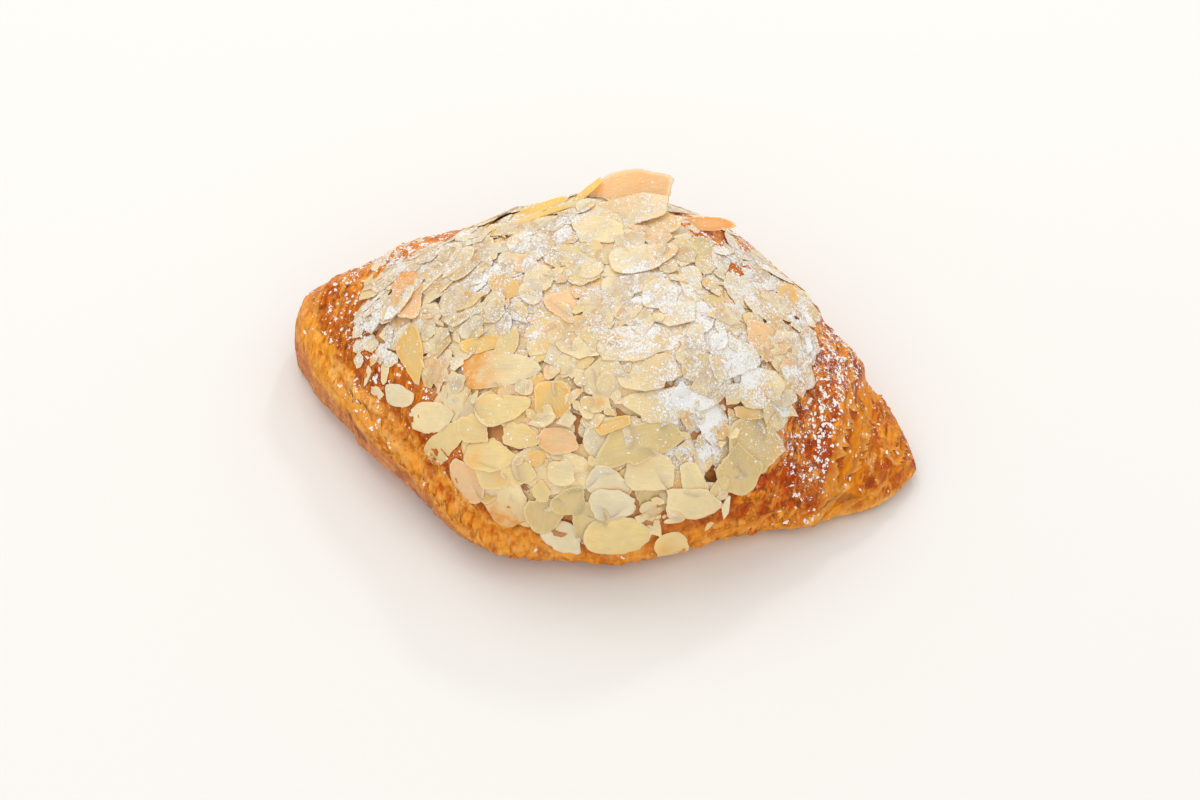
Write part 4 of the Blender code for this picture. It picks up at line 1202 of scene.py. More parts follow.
class Finish:
    """A material in the making; a call adds a node and returns the socket with its result."""

    def __init__(self, name, values):
        self.material = bpy.data.materials.new(name)
        self.material.use_nodes = True
        self.tree = self.material.node_tree
        self.shader = self.tree.nodes["Principled BSDF"]
        for key, value in values.items():
            self.shader.inputs[key].default_value = value

    @cached_property
    def place(self):
        """The place on the piece."""
        return self.node("TexCoord").outputs["Object"]

    def node(self, kind, inputs=(), **settings):
        """Adds any node; inputs pairs a socket's name or number with a value or another socket."""
        node = self.tree.nodes.new("ShaderNode" + kind)
        for name, value in settings.items():
            setattr(node, name, value)
        for key, source in inputs:
            if isinstance(source, bpy.types.NodeSocket):
                self.tree.links.new(source, node.inputs[key])
            else:
                node.inputs[key].default_value = source
        return node

    def stored(self, name, output="Fac"):
        """What the mesh stores for each vertex, a number or a colour."""
        return self.node("Attribute", attribute_name=name).outputs[output]

    def noise(self, size, detail, roughness=0.5, distortion=0.0, vector=None, unit=MM):
        """Noise whose features have this size in millimetres, or in another unit of its vector."""
        vector = self.place if vector is None else vector
        return self.node("TexNoise", [
            ("Vector", vector), ("Scale", 1 / (size * unit)), ("Detail", detail), ("Roughness", roughness),
            ("Distortion", distortion)]).outputs["Fac"]

    def stretched(self, vector, scale):
        """A vector with its axes scaled."""
        return self.node("Mapping", [("Vector", vector), ("Scale", scale)]).outputs[0]

    def ranged(self, value, low, high, start=0.0, end=1.0, smooth=False):
        """What goes from start to end while the value goes from low to high."""
        return self.node("MapRange", [
            ("Value", value), ("From Min", low), ("From Max", high), ("To Min", start), ("To Max", end)],
            interpolation_type="SMOOTHSTEP" if smooth else "LINEAR").outputs[0]

    def math(self, operation, *values, clamp=False):
        """A sum, product or the like."""
        return self.node("Math", enumerate(values), operation=operation, use_clamp=clamp).outputs[0]

    def scaled(self, colour, share):
        """A colour made lighter or darker."""
        return self.node("VectorMath", [(0, colour), ("Scale", share)], operation="SCALE").outputs["Vector"]

    def blended(self, share, colour, other):
        """A colour with a share of another one; each is a socket or plain red, green and blue."""
        inputs = [(0, share)]
        for key, source in ((6, colour), (7, other)):
            inputs.append((key, source if isinstance(source, bpy.types.NodeSocket) else (*source, 1.0)))
        return self.node("Mix", inputs, data_type="RGBA").outputs[2]

    def dusted(self, base, settings):
        """The base colour under sifted sugar, and 1 where a speck of it lies.

        The specks are about 0.5 mm wide, more of them where the piece is more covered, and the gaps between
        them lie in their shade.
        """
        cover = self.stored("sugar")
        level = self.math("ADD", self.noise(0.5, 3.0, 0.75), self.math("MULTIPLY", cover, 0.37))
        specks = self.ranged(level, 0.70, 0.77, end=0.9, smooth=True)
        white = self.math("MULTIPLY", specks, self.math("GREATER_THAN", cover, 0.02))
        warm = self.blended(cover, (1.0, 1.0, 1.0), settings.sugar_gap)
        shaded = self.node("VectorMath", [(0, base), (1, warm)], operation="MULTIPLY").outputs["Vector"]
        return self.blended(white, shaded, settings.sugar), white

    def bumps(self, height, strength, depth):
        """Fine relief, its depth in millimetres."""
        inputs = [("Height", height), ("Strength", strength), ("Distance", depth * MM)]
        return self.node("Bump", inputs).outputs[0]

    def done(self, sockets):
        """Links the results to the shader's inputs and returns the material."""
        for key, socket in sockets.items():
            self.tree.links.new(socket, self.shader.inputs[key])
        return self.material


def egg_washed_pastry(settings):
    """Laminated butter dough, brushed with egg and baked: amber glaze, mottled, with a soft gloss."""
    look = Finish("egg_washed_pastry", {
        "Coat Weight": 0.04, "Coat Roughness": 0.2, "Specular IOR Level": 0.1, "Subsurface Weight": 0.04,
        "Subsurface Scale": 0.002})
    # The dough was rolled round X, so its wrinkles and spots are drawn out round it
    drawn = look.stretched(look.place, (1, 0.45, 0.45))
    # Golden spots, 1 to 3 mm wide, where the dough's bubbles browned less than the glaze between them
    blotches = look.math("ADD", look.noise(3, 5, 0.62, 0.8, drawn), look.stored("spots"))
    golden = look.ranged(blotches, 0.5, 0.66, end=0.8, smooth=True)
    toned = look.blended(golden, look.stored("glaze", "Color"), settings.golden)
    mottle = look.stored("mottle")
    uneven = look.ranged(look.noise(1, 4, 0.65, 0.5, drawn), 0.35, 0.65, -0.38, 0.32)
    darker = look.math("MULTIPLY_ADD", uneven, mottle, 1)
    # Where the glaze pooled between the bubbles it burnt to deep red lines, less than 1 mm wide
    pools = look.ranged(look.noise(1.7, 5, 0.7, 1.2, drawn), 0.51, 0.6, end=0.65)
    burnt = look.math("MULTIPLY", pools, mottle, clamp=True)
    shade = look.scaled(look.blended(burnt, toned, settings.ember), darker)
    # Torn dough has pale crumbs about 1 mm wide
    matt = look.stored("matt")
    flecks = look.node("TexVoronoi", [
        ("Vector", look.place), ("Scale", 1 / (1.5 * MM)), ("Randomness", 1)]).outputs["Distance"]
    pale = look.math("MULTIPLY", look.ranged(flecks, 0.1, 0.35, 0.45, 0), matt)
    colour, white = look.dusted(look.blended(pale, shade, settings.crumb), settings)
    gloss = look.ranged(matt, 0, 1, 0.34, 0.7)
    lowered = look.math("MULTIPLY_ADD", burnt, -0.6, look.noise(0.7, 4, 0.6))
    return look.done({
        "Base Color": colour, "Roughness": look.math("MAXIMUM", gloss, white),
        "Normal": look.bumps(look.math("ADD", lowered, white), 0.7, 0.35)})


def sliced_almond(settings):
    """Blanched almond, cut thin and toasted: waxy cream with fine lengthwise grain and browned edges."""
    look = Finish("sliced_almond", {
        "Subsurface Weight": 0.3, "Subsurface Scale": 0.002, "Subsurface Radius": (1, 0.6, 0.3)})
    # The cut shows the nut's fibres as faint lines 0.5 mm apart along the slice; its map is in millimetres
    along = look.stretched(look.node("UVMap", uv_map="grain").outputs["UV"], (0.25, 2, 1))
    fibres = look.noise(1, 3, 0.55, vector=along, unit=1)
    cloud = look.noise(3, 3, 0.6)
    lighter, clouded = look.ranged(fibres, 0.3, 0.7, 0.96, 1.04), look.ranged(cloud, 0.3, 0.7, 0.92, 1.07)
    level = look.math("MULTIPLY", lighter, clouded)
    body = look.scaled(look.stored("tone", "Color"), level)
    # The heart of the nut is a little greyer than the flesh round it, and the thin edge is painted a lighter
    # gold, painted light caught in the thin, translucent rim
    ring = look.stored("ring")
    heart = look.ranged(look.math("MULTIPLY_ADD", cloud, 0.5, ring), 0.65, 1.05, 0.3, 0, smooth=True)
    hearted = look.blended(heart, body, settings.heart)
    edged = look.blended(look.ranged(ring, 0.87, 1, end=0.75), hearted, settings.painted_edge_light)
    patchy = look.ranged(cloud, 0.35, 0.65, 0.3, 1.5)
    browned = look.math("MULTIPLY", look.stored("toast"), patchy, clamp=True)
    colour, white = look.dusted(look.blended(browned, edged, settings.toasted), settings)
    return look.done({
        "Base Color": colour, "Roughness": look.ranged(white, 0, 1, 0.42, 0.95),
        "Normal": look.bumps(look.math("ADD", white, fibres), 0.6, 0.35)})


def baked_almond_cream(settings):
    """Ground almonds, sugar and butter, baked dry: grainy cream and gold with browned points."""
    look = Finish("baked_almond_cream", {
        "Roughness": 0.7, "Subsurface Weight": 0.25, "Subsurface Scale": 0.002,
        "Subsurface Radius": (1, 0.6, 0.3)})
    grain = look.noise(0.8, 4, 0.7)
    gold = look.ranged(look.noise(3.5, 4, 0.6), 0.4, 0.65)
    toned = look.blended(gold, settings.cream, settings.butter)
    pointed = look.blended(look.ranged(grain, 0.56, 0.7, end=0.7), toned, settings.toasted)
    # On the near slope it is thin and browned like the crust under it
    base = look.blended(look.stored("browned"), pointed, settings.gap)
    colour, white = look.dusted(base, settings)
    return look.done({
        "Base Color": colour, "Normal": look.bumps(look.math("ADD", grain, white), 0.7, 0.4)})


def icing_sugar(settings):
    """Finely milled sugar in soft clumps: white, matt, with a faint unevenness."""
    look = Finish("icing_sugar", {"Roughness": 0.9, "Specular IOR Level": 0.2})
    shade = look.ranged(look.noise(0.3, 2), 0.3, 0.7, 0.9, 1)
    return look.done({"Base Color": look.blended(shade, (0.5, 0.45, 0.4), settings.sugar)})


def flaky_crumb(settings):
    """Thin dry flakes of baked dough: golden brown and matt."""
    look = Finish("flaky_crumb", {"Roughness": 0.6})
    mottle = look.noise(1.1, 4)
    return look.done({"Base Color": look.blended(mottle, settings.glaze_dark_and_shade, settings.golden)})


def matt_white(settings):
    """Smooth matt white surface under the croissant."""
    values = {"Base Color": (*settings.floor, 1), "Roughness": 0.6, "Specular IOR Level": 0.3}
    return Finish("matt_white", values).material


# --- Settings that a user would change ---

def tint(name, description, code):
    """A colour in the sidebar."""
    return bpy.props.FloatVectorProperty(
        name=name, description=description, subtype="COLOR", size=3, min=0, max=1, default=linear(code))


class CroissantSettings(bpy.types.PropertyGroup):
    """Colours and sizes of the croissant's finish."""
    glaze: tint("Glaze", "Egg-washed crust outside the almonds", "#C86814")
    glaze_light: tint("Light glaze", "Crust of the left end", "#EE8E14")
    # Dark glaze of the right shoulder, also painted shade in the torn rim's pits
    glaze_dark_and_shade: tint("Dark glaze", "Crust of the right shoulder, baked darkest", "#B44404")
    golden: tint("Golden", "Paler baked bubbles and the torn rim", "#F6A436")
    crumb: tint("Crumb", "Torn inner dough that is hardly browned", "#F6BC6A")
    hollow: tint("Hollow", "Bare crust in the hollow behind the rim", "#C06410")
    gap: tint("Gaps", "Browned bottom of the gaps between the slices on the near slope", "#B4661A")
    wall: tint("Side wall", "Cut edge of the layers", "#DE9866")
    wall_dark: tint("Side wall lines", "Gaps between the layers of the side wall", "#AC6238")
    # Reddest burnt spots of the glaze, and also the painted shadow line under the shoulder's fold step
    ember: tint("Ember", "Reddest spots of the glaze", "#AE4206")
    scorched: tint("Scorched", "Darkest spots of the outer rim", "#94553E")
    band: tint("Inner layer", "Smooth layer between two folds at the tip", "#E38600")
    bed: tint("Bed", "Crust between the almonds, glazed with almond cream", "#E4B068")
    underside: tint("Underside", "Flat baked underside", "#C07C38")
    cream: tint("Cream almond", "Most slices", "#FADCA8")
    butter: tint("Butter almond", "Yellow slices", "#F5D08C")
    pale: tint("Pale almond", "Hardly baked slices", "#F4DFB8")
    honey: tint("Honey almond", "Deep yellow slices", "#F2BC66")
    peach: tint("Peach almond", "Slices toasted all over", "#F7C08A")
    # Partly the green-cream tone of some slices, partly painted shade: darker and greyer for the slices in
    # the near slope's shade
    moss: tint("Green-cream almond", "Slices in the near slope's shade", "#DFC083")
    sunny: tint("Sunny almond", "Deep yellow slices on the crest", "#FFC658")
    ember_toast: tint("Toasted almond", "Slice browned all over", "#F09A40")
    heart: tint("Almond heart", "Paler middle of a slice", "#EBD0A0")
    # Painted light: the lighter gold of a slice's thin rim stands in for light caught in its translucent edge
    painted_edge_light: tint("Thin edge", "Golden rim of a slice", "#FFE6B2")
    toasted: tint("Toasted", "Browned edges and spots of almond", "#EE9C40")
    sugar: tint("Icing sugar", "Sifted sugar", "#FEFBF6")
    sugar_gap: tint("Sugar gaps", "What the shade between grains takes off the surface", "#FCEBD2")
    floor: tint("Floor", "Plain floor under the croissant", "#ECEAE6")
    slice_thickness: bpy.props.FloatProperty(
        name="Slice thickness", description="Thickness of an almond slice", unit="LENGTH", min=0.0003,
        max=0.00125, default=SLICE_THICKNESS * MM)
    piece_count: bpy.props.IntProperty(
        name="Broken pieces", description="Number of small broken almond pieces", min=0, max=1300,
        default=PIECE_COUNT)
    clump_count: bpy.props.IntProperty(
        name="Sugar clumps", description="Number of icing sugar clumps", min=0, max=9000, default=CLUMP_COUNT)
    powder_count: bpy.props.IntProperty(
        name="Sugar powder", description="Number of fine icing sugar grains", min=0, max=24000,
        default=POWDER_COUNT)


# --- Operators ---

def ring_places():
    """Nominal places of the crust's rings."""
    places = []
    ends = [start for start, _ in RING_SPACINGS[1:]] + [RIGHT_END]
    for (start, spacing), end in zip(RING_SPACINGS, ends):
        places += list(np.linspace(start, end, round((end - start) / spacing), endpoint=False))
    return np.array(places[1:])


def seam_rise(x, side, seam):
    """Angle above the widest line, in degrees, at which a seam of that height crosses one side."""
    near, far, crest, belly, middle = [float(value) for value in section(x)]
    lift = min(max((seam - belly) / (crest - belly), SEAM_LIFT[0]), SEAM_LIFT[1])
    reach = middle - near if side == "near" else far - middle
    across = (1 - lift ** SQUARENESS) ** (1 / SQUARENESS) * reach
    return math.degrees(math.atan2(lift * (crest - belly), across))


def row_angles(x):
    """The angles of one ring's rows, starting at the crest, closer together along each side's seam."""
    near = 180 - seam_rise(x, "near", np.interp(x, SEAM[:, 0], SEAM[:, 1]))
    far = 360 + seam_rise(x, "far", FAR_SEAM_HEIGHT)
    marks = ((90.0, near - SEAM_ROW_GAP, ROWS_CREST_TO_SEAM),
             (near - SEAM_ROW_GAP, near + SEAM_ROW_GAP, ROWS_AT_SEAM),
             (near + SEAM_ROW_GAP, UNDERSIDE_FROM, ROWS_SEAM_TO_UNDERSIDE),
             (UNDERSIDE_FROM, UNDERSIDE_TO, ROWS_UNDERSIDE),
             (UNDERSIDE_TO, far - SEAM_ROW_GAP, ROWS_SEAM_TO_UNDERSIDE // 2),
             (far - SEAM_ROW_GAP, far + SEAM_ROW_GAP, ROWS_AT_SEAM // 2),
             (far + SEAM_ROW_GAP, 450.0, ROWS_CREST_TO_SEAM))
    return np.concatenate([np.linspace(start, end, rows, endpoint=False) for start, end, rows in marks])


class CROISSANT_OT_crust(bpy.types.Operator):
    """Models the crust: a sphere's rings and rows, each set to its place on the laminated, split pastry."""
    bl_idname = "croissant.crust"
    bl_label = "Crust"

    def execute(self, context):
        settings = context.scene.croissant
        places = ring_places()
        angles = np.radians([row_angles(x) for x in places])
        rings, rows = angles.shape
        nominal = np.repeat(places[:, None], rows, axis=1)
        points = crust_points(nominal, angles, crust_detail)
        x = swept(nominal, angles)
        colours = crust_colours(nominal, x, angles, points, settings)
        zone = zones(nominal, x, angles, points)
        matt = np.clip(zone["rim"] + zone["wall"] + zone["lip"] + zone["under"], 0, 1)
        spots, mottle = [sum(share * zone.get(name, 1.0) for name, share in table.items())
                         for table in (SPOTS, MOTTLE)]

        deselect_all()
        bpy.ops.mesh.primitive_uv_sphere_add(segments=rows, ring_count=rings + 1, radius=1.0)
        crust = context.active_object
        crust.name = crust.data.name = "crust"
        co = read(crust.data.vertices, "co", 3)
        ring = np.round(np.arccos(np.clip(co[:, 2], -1, 1)) / math.pi * (rings + 1)).astype(int) - 1
        row = np.round(np.arctan2(co[:, 1], co[:, 0]) / math.tau * rows).astype(int) % rows
        middle = np.clip(ring, 0, rings - 1)
        placed = points[middle, row]
        for end, x_end in ((-1, LEFT_END), (rings, RIGHT_END)):
            belly, centre = section(x_end)[3:]
            placed[ring == end] = (x_end, centre, belly)
        crust.data.vertices.foreach_set("co", (placed * MM).ravel())
        crust.data.update()
        bpy.ops.object.mode_set(mode="EDIT")
        bpy.ops.mesh.select_all(action="SELECT")
        bpy.ops.mesh.normals_make_consistent(inside=False)
        bpy.ops.object.mode_set(mode="OBJECT")
        crust.data.shade_smooth()
        store_colours(crust, "glaze", colours[middle, row])
        store_values(crust, "matt", matt[middle, row])
        store_values(crust, "spots", spots[middle, row])
        store_values(crust, "mottle", np.clip(mottle, 0.05, 1.2)[middle, row])
        dust(crust, 0.5 * (1 - zone["rim"])[middle, row])
        finish_piece(crust, egg_washed_pastry(settings))
        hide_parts(NODE)
        return {"FINISHED"}


def layer_edge(reach, reach_degrees, lift, line, seed):
    """A thin closed sheet over the crust from a line to a ragged free edge that lifts off a little.

    Returns its points, each one's nominal place, angle and share of the way to the free edge, and triangles.
    """
    line = np.array(line)
    gaps = np.hypot(np.diff(line[:, 0]), np.radians(np.diff(line[:, 1])) * LAYER_RADIUS)
    along = np.concatenate(((0.0,), np.cumsum(gaps)))
    count = max(round(along[-1] / LAYER_STEP), 12)
    t = np.linspace(0, along[-1], count)
    spots = np.stack((t, np.full(count, 3.0 * seed), np.zeros(count)), axis=-1)
    ragged = 0.75 + 0.7 * rough(spots, 2.6, 51) + 0.5 * rough(spots, 0.9, 52)
    length = np.maximum(ragged, 0.1) * ramp(t, 0.0, 4.0) * (1 - ramp(t, along[-1] - 4.0, along[-1]))
    share = np.tile(np.linspace(0, 1, LAYER_ROWS), (count, 1))
    out = length[:, None] * share
    nominal = np.interp(t, along, line[:, 0])[:, None] + reach * out
    angle = np.radians(np.interp(t, along, line[:, 1])[:, None] + reach_degrees * out)
    surface = crust_points(nominal, angle, crust_detail)
    smooth = crust_points(nominal, angle)
    round_it, along_it = crust_points(nominal, angle + 0.02), crust_points(nominal + 0.4, angle)
    normal = np.cross(round_it - smooth, along_it - smooth)
    normal = normal / np.maximum(np.linalg.norm(normal, axis=-1), 1e-9)[..., None]
    over = surface + normal * (0.1 + lift * (out ** 2) * (0.7 + 0.6 * rough(surface, 3.0, 53)))[..., None]
    under = over - normal * LAYER_THICKNESS
    loop = np.concatenate((over, under[:, ::-1]), axis=1)
    loop[..., 2] = np.maximum(loop[..., 2], 0.02)
    size = 2 * LAYER_ROWS
    faces = []
    for i in range(count - 1):
        for k in range(size):
            a, b = i * size + k, i * size + (k + 1) % size
            faces += [(a, b, b + size), (a, b + size, a + size)]
    for first in (0, (count - 1) * size):
        for k in range(LAYER_ROWS - 1):
            a, b, c, d = first + k, first + k + 1, first + size - 2 - k, first + size - 1 - k
            cap = [(a, b, c), (a, c, d)]
            faces += [face[::-1] for face in cap] if first == 0 else cap
    both = [np.concatenate((values, values[:, ::-1]), axis=1).ravel() for values in (nominal, angle, share)]
    return loop.reshape(-1, 3), both, np.array(faces)


class CROISSANT_OT_layers(bpy.types.Operator):
    """Models the free edges of the thin outer layers, where the baked dough peels a little."""
    bl_idname = "croissant.layers"
    bl_label = "Peeling layers"

    def execute(self, context):
        settings = context.scene.croissant
        parts = [layer_edge(*edge, seed) for seed, edge in enumerate(LAYER_EDGES)]
        points, faces, count = [], [], 0
        for part_points, _, part_faces in parts:
            flip = signed_volume(part_points, part_faces) < 0
            faces.append((part_faces[:, ::-1] if flip else part_faces) + count)
            points.append(part_points)
            count += len(part_points)
        points = np.concatenate(points)
        nominal, angle, share = [np.concatenate([part[1][k] for part in parts]) for k in range(3)]
        colours = crust_colours(nominal, swept(nominal, angle), angle, points, settings)
        colours = mixed(colours, 0.25 + 0.6 * share ** 2, settings.golden)
        made = joined_mesh("crust_layers", points, np.concatenate(faces))
        store_colours(made, "glaze", mixed(colours, 0.7 * ramp(share, 0.7, 1.0), settings.crumb))
        store_values(made, "matt", 0.4 * share)
        store_values(made, "spots", np.zeros(count))
        store_values(made, "mottle", np.full(count, 0.3))
        dust(made, 0.5)
        pastry = bpy.data.materials.get("egg_washed_pastry") or egg_washed_pastry(settings)
        finish_piece(made, pastry)
        return {"FINISHED"}


class CROISSANT_OT_crumbs(bpy.types.Operator):
    """Scatters loose crumbs of baked dough on the torn rim and at the tip."""
    bl_idname = "croissant.crumbs"
    bl_label = "Crumbs"

    def execute(self, context):
        settings = context.scene.croissant
        crust = bpy.data.objects.get("crust")
        if crust is None:
            raise RuntimeError("make the crust before the crumbs")
        rng = np.random.default_rng(SEED + 4)
        faces = [face.vertices for face in crust.data.polygons]
        tree = BVHTree.FromPolygons(points_of(crust)[0].tolist(), faces)
        found = []
        for x, y, spread, count in CRUMB_SPOTS:
            for _ in range(count):
                aside = [spread * rng.normal() * CRUMB_SPREAD for _ in range(2)]
                place = Vector((x + aside[0], y + aside[1], 80.0))
                hit, normal, _, _ = tree.ray_cast(place, Vector((0, 0, -1)))
                if hit is not None:
                    radius = CRUMB_RADIUS[0] + (CRUMB_RADIUS[1] - CRUMB_RADIUS[0]) * rng.random() ** 2
                    found.append((*hit, *normal, radius))
        crumbs = grains_mesh("crumbs", ball_template("crumb"), np.array(found), CRUMB_FLATNESS, rng)
        crumbs.data.polygons.foreach_set("use_smooth", np.zeros(len(crumbs.data.polygons), dtype=bool))
        finish_piece(crumbs, flaky_crumb(settings))
        return {"FINISHED"}


def slices_mesh(name, template, items, bed, rng, settings):
    """One mesh of many slices: each copies the template's topology over its own outline.

    items has, for each slice, how it lies, its outline, its turn, thickness, height of its top, tone, toasted
    end, share of sugar and amount of ripple.
    """
    reach, column, level, triangles = template
    points, faces, tones, toasts, sugars, grain = [], [], [], [], [], []
    for number, (rest, outline, turn, thickness, top, tone, toasted, sugar, ripple) in enumerate(items):
        shape = outline[column] * reach[:, None]
        length = np.abs(outline[:, 0]).max()
        u, v = shape[:, 0] / length, shape[:, 1] / length
        waves = rng.uniform(-1, 1, 3)
        wave = waves[0] * (u * u - 0.3) + waves[1] * 2 * u * v + waves[2] * 0.5 * np.sin(3 * u + 2 * v)
        height = top - thickness * (1 - level) + ripple * wave
        points.append(bed.place(rest, turned(shape, turn), height))
        faces.append(triangles + number * len(shape))
        base = np.array(getattr(settings, tone)) * rng.uniform(0.95, 1.04)
        tones.append(base * (1 + rng.uniform(-0.1, 0.1) * u + rng.uniform(-0.05, 0.05) * v)[:, None])
        spot = np.exp(-((u - rng.uniform(-1, 1)) ** 2 + (v - rng.uniform(-0.5, 0.5)) ** 2) / 0.2)
        toast = spot * rng.uniform(-0.2, 0.6) if toasted == 0 else ramp(u * toasted, -0.5, 0.9)
        toasts.append(np.clip(toast, 0, 1))
        sugars.append(np.full(len(shape), sugar))
        grain.append(shape)
    points, faces = np.concatenate(points), np.concatenate(faces)
    if signed_volume(points, faces) < 0:
        faces = faces[:, ::-1]
    made = joined_mesh(name, points, faces)
    upright = np.tile(np.ptp(level[triangles], axis=1) > 0.5, len(items))
    made.data.polygons.foreach_set("use_smooth", ~upright)
    store_colours(made, "tone", np.concatenate(tones))
    store_values(made, "toast", np.concatenate(toasts))
    store_values(made, "ring", np.tile(reach, len(items)))
    dust(made, np.concatenate(sugars))
    layer = made.data.uv_layers.new(name="grain")
    corners = read(made.data.loops, "vertex_index", kind=np.int32)
    layer.data.foreach_set("uv", np.concatenate(grain)[corners].astype(np.float32).ravel())
    return made


class CROISSANT_OT_slices(bpy.types.Operator):
    """Models the sliced almonds, whole and broken, those spread by chance and those that stand out."""
    bl_idname = "croissant.slices"
    bl_label = "Sliced almonds"

    def execute(self, context):
        settings = context.scene.croissant
        rng = np.random.default_rng(SEED + 1)
        bed, laid = lay_almonds()
        thickness = settings.slice_thickness / MM
        items = [(flake.rest, slice_outline(flake, rng), flake.turn, thickness, SLICE_TOP, flake.tone,
                  flake.toasted, flake.sugar, SLICE_RIPPLE) for flake in laid]
        slices = slices_mesh("almond_slices", slice_template(SLICE_SIDES), items, bed, rng, settings)
        finish_piece(slices, sliced_almond(settings))
        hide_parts(NODE)
        return {"FINISHED"}


class CROISSANT_OT_cream(bpy.types.Operator):
    """Models the almond cream that bakes to a grainy layer between the sliced almonds."""
    bl_idname = "croissant.cream"
    bl_label = "Almond cream"

    def execute(self, context):
        settings = context.scene.croissant
        bed, _ = lay_almonds()
        covered = bed.layers > 0
        bed.fill_hollows(slope_too=True)
        (x_start, x_end), (first, last) = CREAM_SPAN
        columns, rows = round((x_end - x_start) / CREAM_STEP_ALONG), round((last - first) / CREAM_STEP_ROUND)
        deselect_all()
        bpy.ops.mesh.primitive_grid_add(x_subdivisions=columns, y_subdivisions=rows, size=2)
        cream = context.active_object
        cream.name = cream.data.name = "almond_cream"
        flat = points_of(cream)[0] * MM
        x = x_start + (x_end - x_start) * (flat[:, 0] + 1) / 2
        degrees = last + (first - last) * (flat[:, 1] + 1) / 2
        angle = np.radians(degrees)
        surface = bed.surface(x, angle)
        bare = crust_relief(x, x, angle, surface[:, 2]) + BED_DEPTH
        level = bed.level_at(x, degrees)
        bed.height = near_by(covered.astype(float), 1, np.mean)
        closed = FAR_FILL * (1 - ramp(degrees, 60.0, 80.0))
        share = ramp(bed.level_at(x, degrees) + closed, 0.7, 1.0) * ramp(in_heap(x, degrees), 1.0, 6.0)
        share = ramp(share + 0.3 * rough(surface, 4.0, 61, octaves=2), 0.5, 0.9)
        grainy = 0.3 * rough(surface, 2.4, 62, octaves=3) + 0.12 * rough(surface, 0.9, 63)
        lift = (level - CREAM_DROP + grainy) * share + (bare - CREAM_BURIED) * (1 - share)
        across = np.column_stack((np.zeros_like(x), np.cos(angle), np.sin(angle)))
        placed = surface + across * lift[:, None]
        cream.data.vertices.foreach_set("co", (placed * MM).ravel())
        cream.data.update()
        thick = cream.modifiers.new("thickness", "SOLIDIFY")
        thick.thickness = CREAM_THICKNESS * MM
        thick.offset = -1.0
        bpy.ops.object.modifier_apply(modifier=thick.name)
        cream.data.shade_smooth()
        browned = ramp(np.tile(degrees, 2)[:len(cream.data.vertices)], *SLOPE_FROM)
        store_values(cream, "browned", 0.8 * browned)
        dust(cream, 1 - 0.8 * browned)
        finish_piece(cream, baked_almond_cream(settings))
        return {"FINISHED"}


class CROISSANT_OT_pieces(bpy.types.Operator):
    """Models the small broken almond pieces and slivers that fill the heap."""
    bl_idname = "croissant.pieces"
    bl_label = "Broken almond pieces"

    def execute(self, context):
        settings = context.scene.croissant
        rng = np.random.default_rng(SEED + 2)
        bed, _ = lay_almonds()
        bed.fill_hollows()
        items = []
        for _ in range(settings.piece_count):
            length = PIECE_LENGTH[0] + (PIECE_LENGTH[1] - PIECE_LENGTH[0]) * rng.random() ** 1.2
            sliver = rng.random() < SLIVER_SHARE
            width = SLIVER_WIDTH if sliver else length * rng.uniform(*PIECE_SLENDERNESS)
            outline = fragment_outline(length, width, PIECE_SIDES, rng)
            if rng.random() < PIECE_ROUNDED:
                outline = 0.5 * outline + 0.25 * (np.roll(outline, 1, axis=0) + np.roll(outline, -1, axis=0))
            turn, curl = rng.uniform(0, 360), rng.uniform(-PIECE_CURL, PIECE_CURL)
            tilt = rng.uniform(-PIECE_TILT, PIECE_TILT, 2)
            x, angle = least_covered(bed, rng)
            tone = str(rng.choice(PIECE_TONES, p=PIECE_TONE_SHARES))
            degrees = math.degrees(angle)
            if CREST_ROUND[0] < degrees < CREST_ROUND[1] and CREST_SPAN[0] < x < CREST_SPAN[1]:
                continue
            if degrees > PIECE_LIMIT and rng.random() < PIECE_LEFT_OUT:
                continue
            stray = in_heap(x, degrees) < 0
            if stray and (degrees > STRAY_LIMIT or rng.random() > STRAY_SHARE):
                continue
            if degrees > SLOPE_FROM[1]:
                outline = outline * SLOPE_PIECE
            rest = bed.settle(x, angle, turned(outline, turn), curl, tilt, PIECE_THICKNESS,
                              bearing=PIECE_BEARING)
            sugar = rng.uniform(*PIECE_SUGAR)
            items.append((rest, outline, turn, PIECE_THICKNESS, PIECE_TOP, tone, 0, sugar, PIECE_RIPPLE))
        pieces = slices_mesh("almond_pieces", slice_template(PIECE_SIDES), items, bed, rng, settings)
        almond = bpy.data.materials.get("sliced_almond") or sliced_almond(settings)
        finish_piece(pieces, almond)
        return {"FINISHED"}


SUGARED = ("crust", "crust_layers", "almond_cream", "almond_slices", "almond_pieces")


def surface_under_sugar():
    """What sugar falls on, as one searchable surface, with each triangle's cover and whether it is crust."""
    points, triangles, cover, bare, count = [], [], [], [], 0
    for name in SUGARED:
        made = bpy.data.objects.get(name)
        if made is None:
            raise RuntimeError(f"make the piece {name} before the sugar")
        made.data.calc_loop_triangles()
        corners = read(made.data.loop_triangles, "vertices", 3, np.int32)
        values = read(made.data.attributes["sugar"].data, "value", kind=np.float32)
        points.append(points_of(made)[0])
        triangles.append(corners + count)
        cover.append(values[corners].mean(axis=1))
        bare.append(np.full(len(corners), name.startswith("crust")))
        count += len(values)
    points, triangles = np.concatenate(points), np.concatenate(triangles)
    tree = BVHTree.FromPolygons(points.tolist(), triangles.tolist())
    return tree, np.concatenate(cover), np.concatenate(bare)


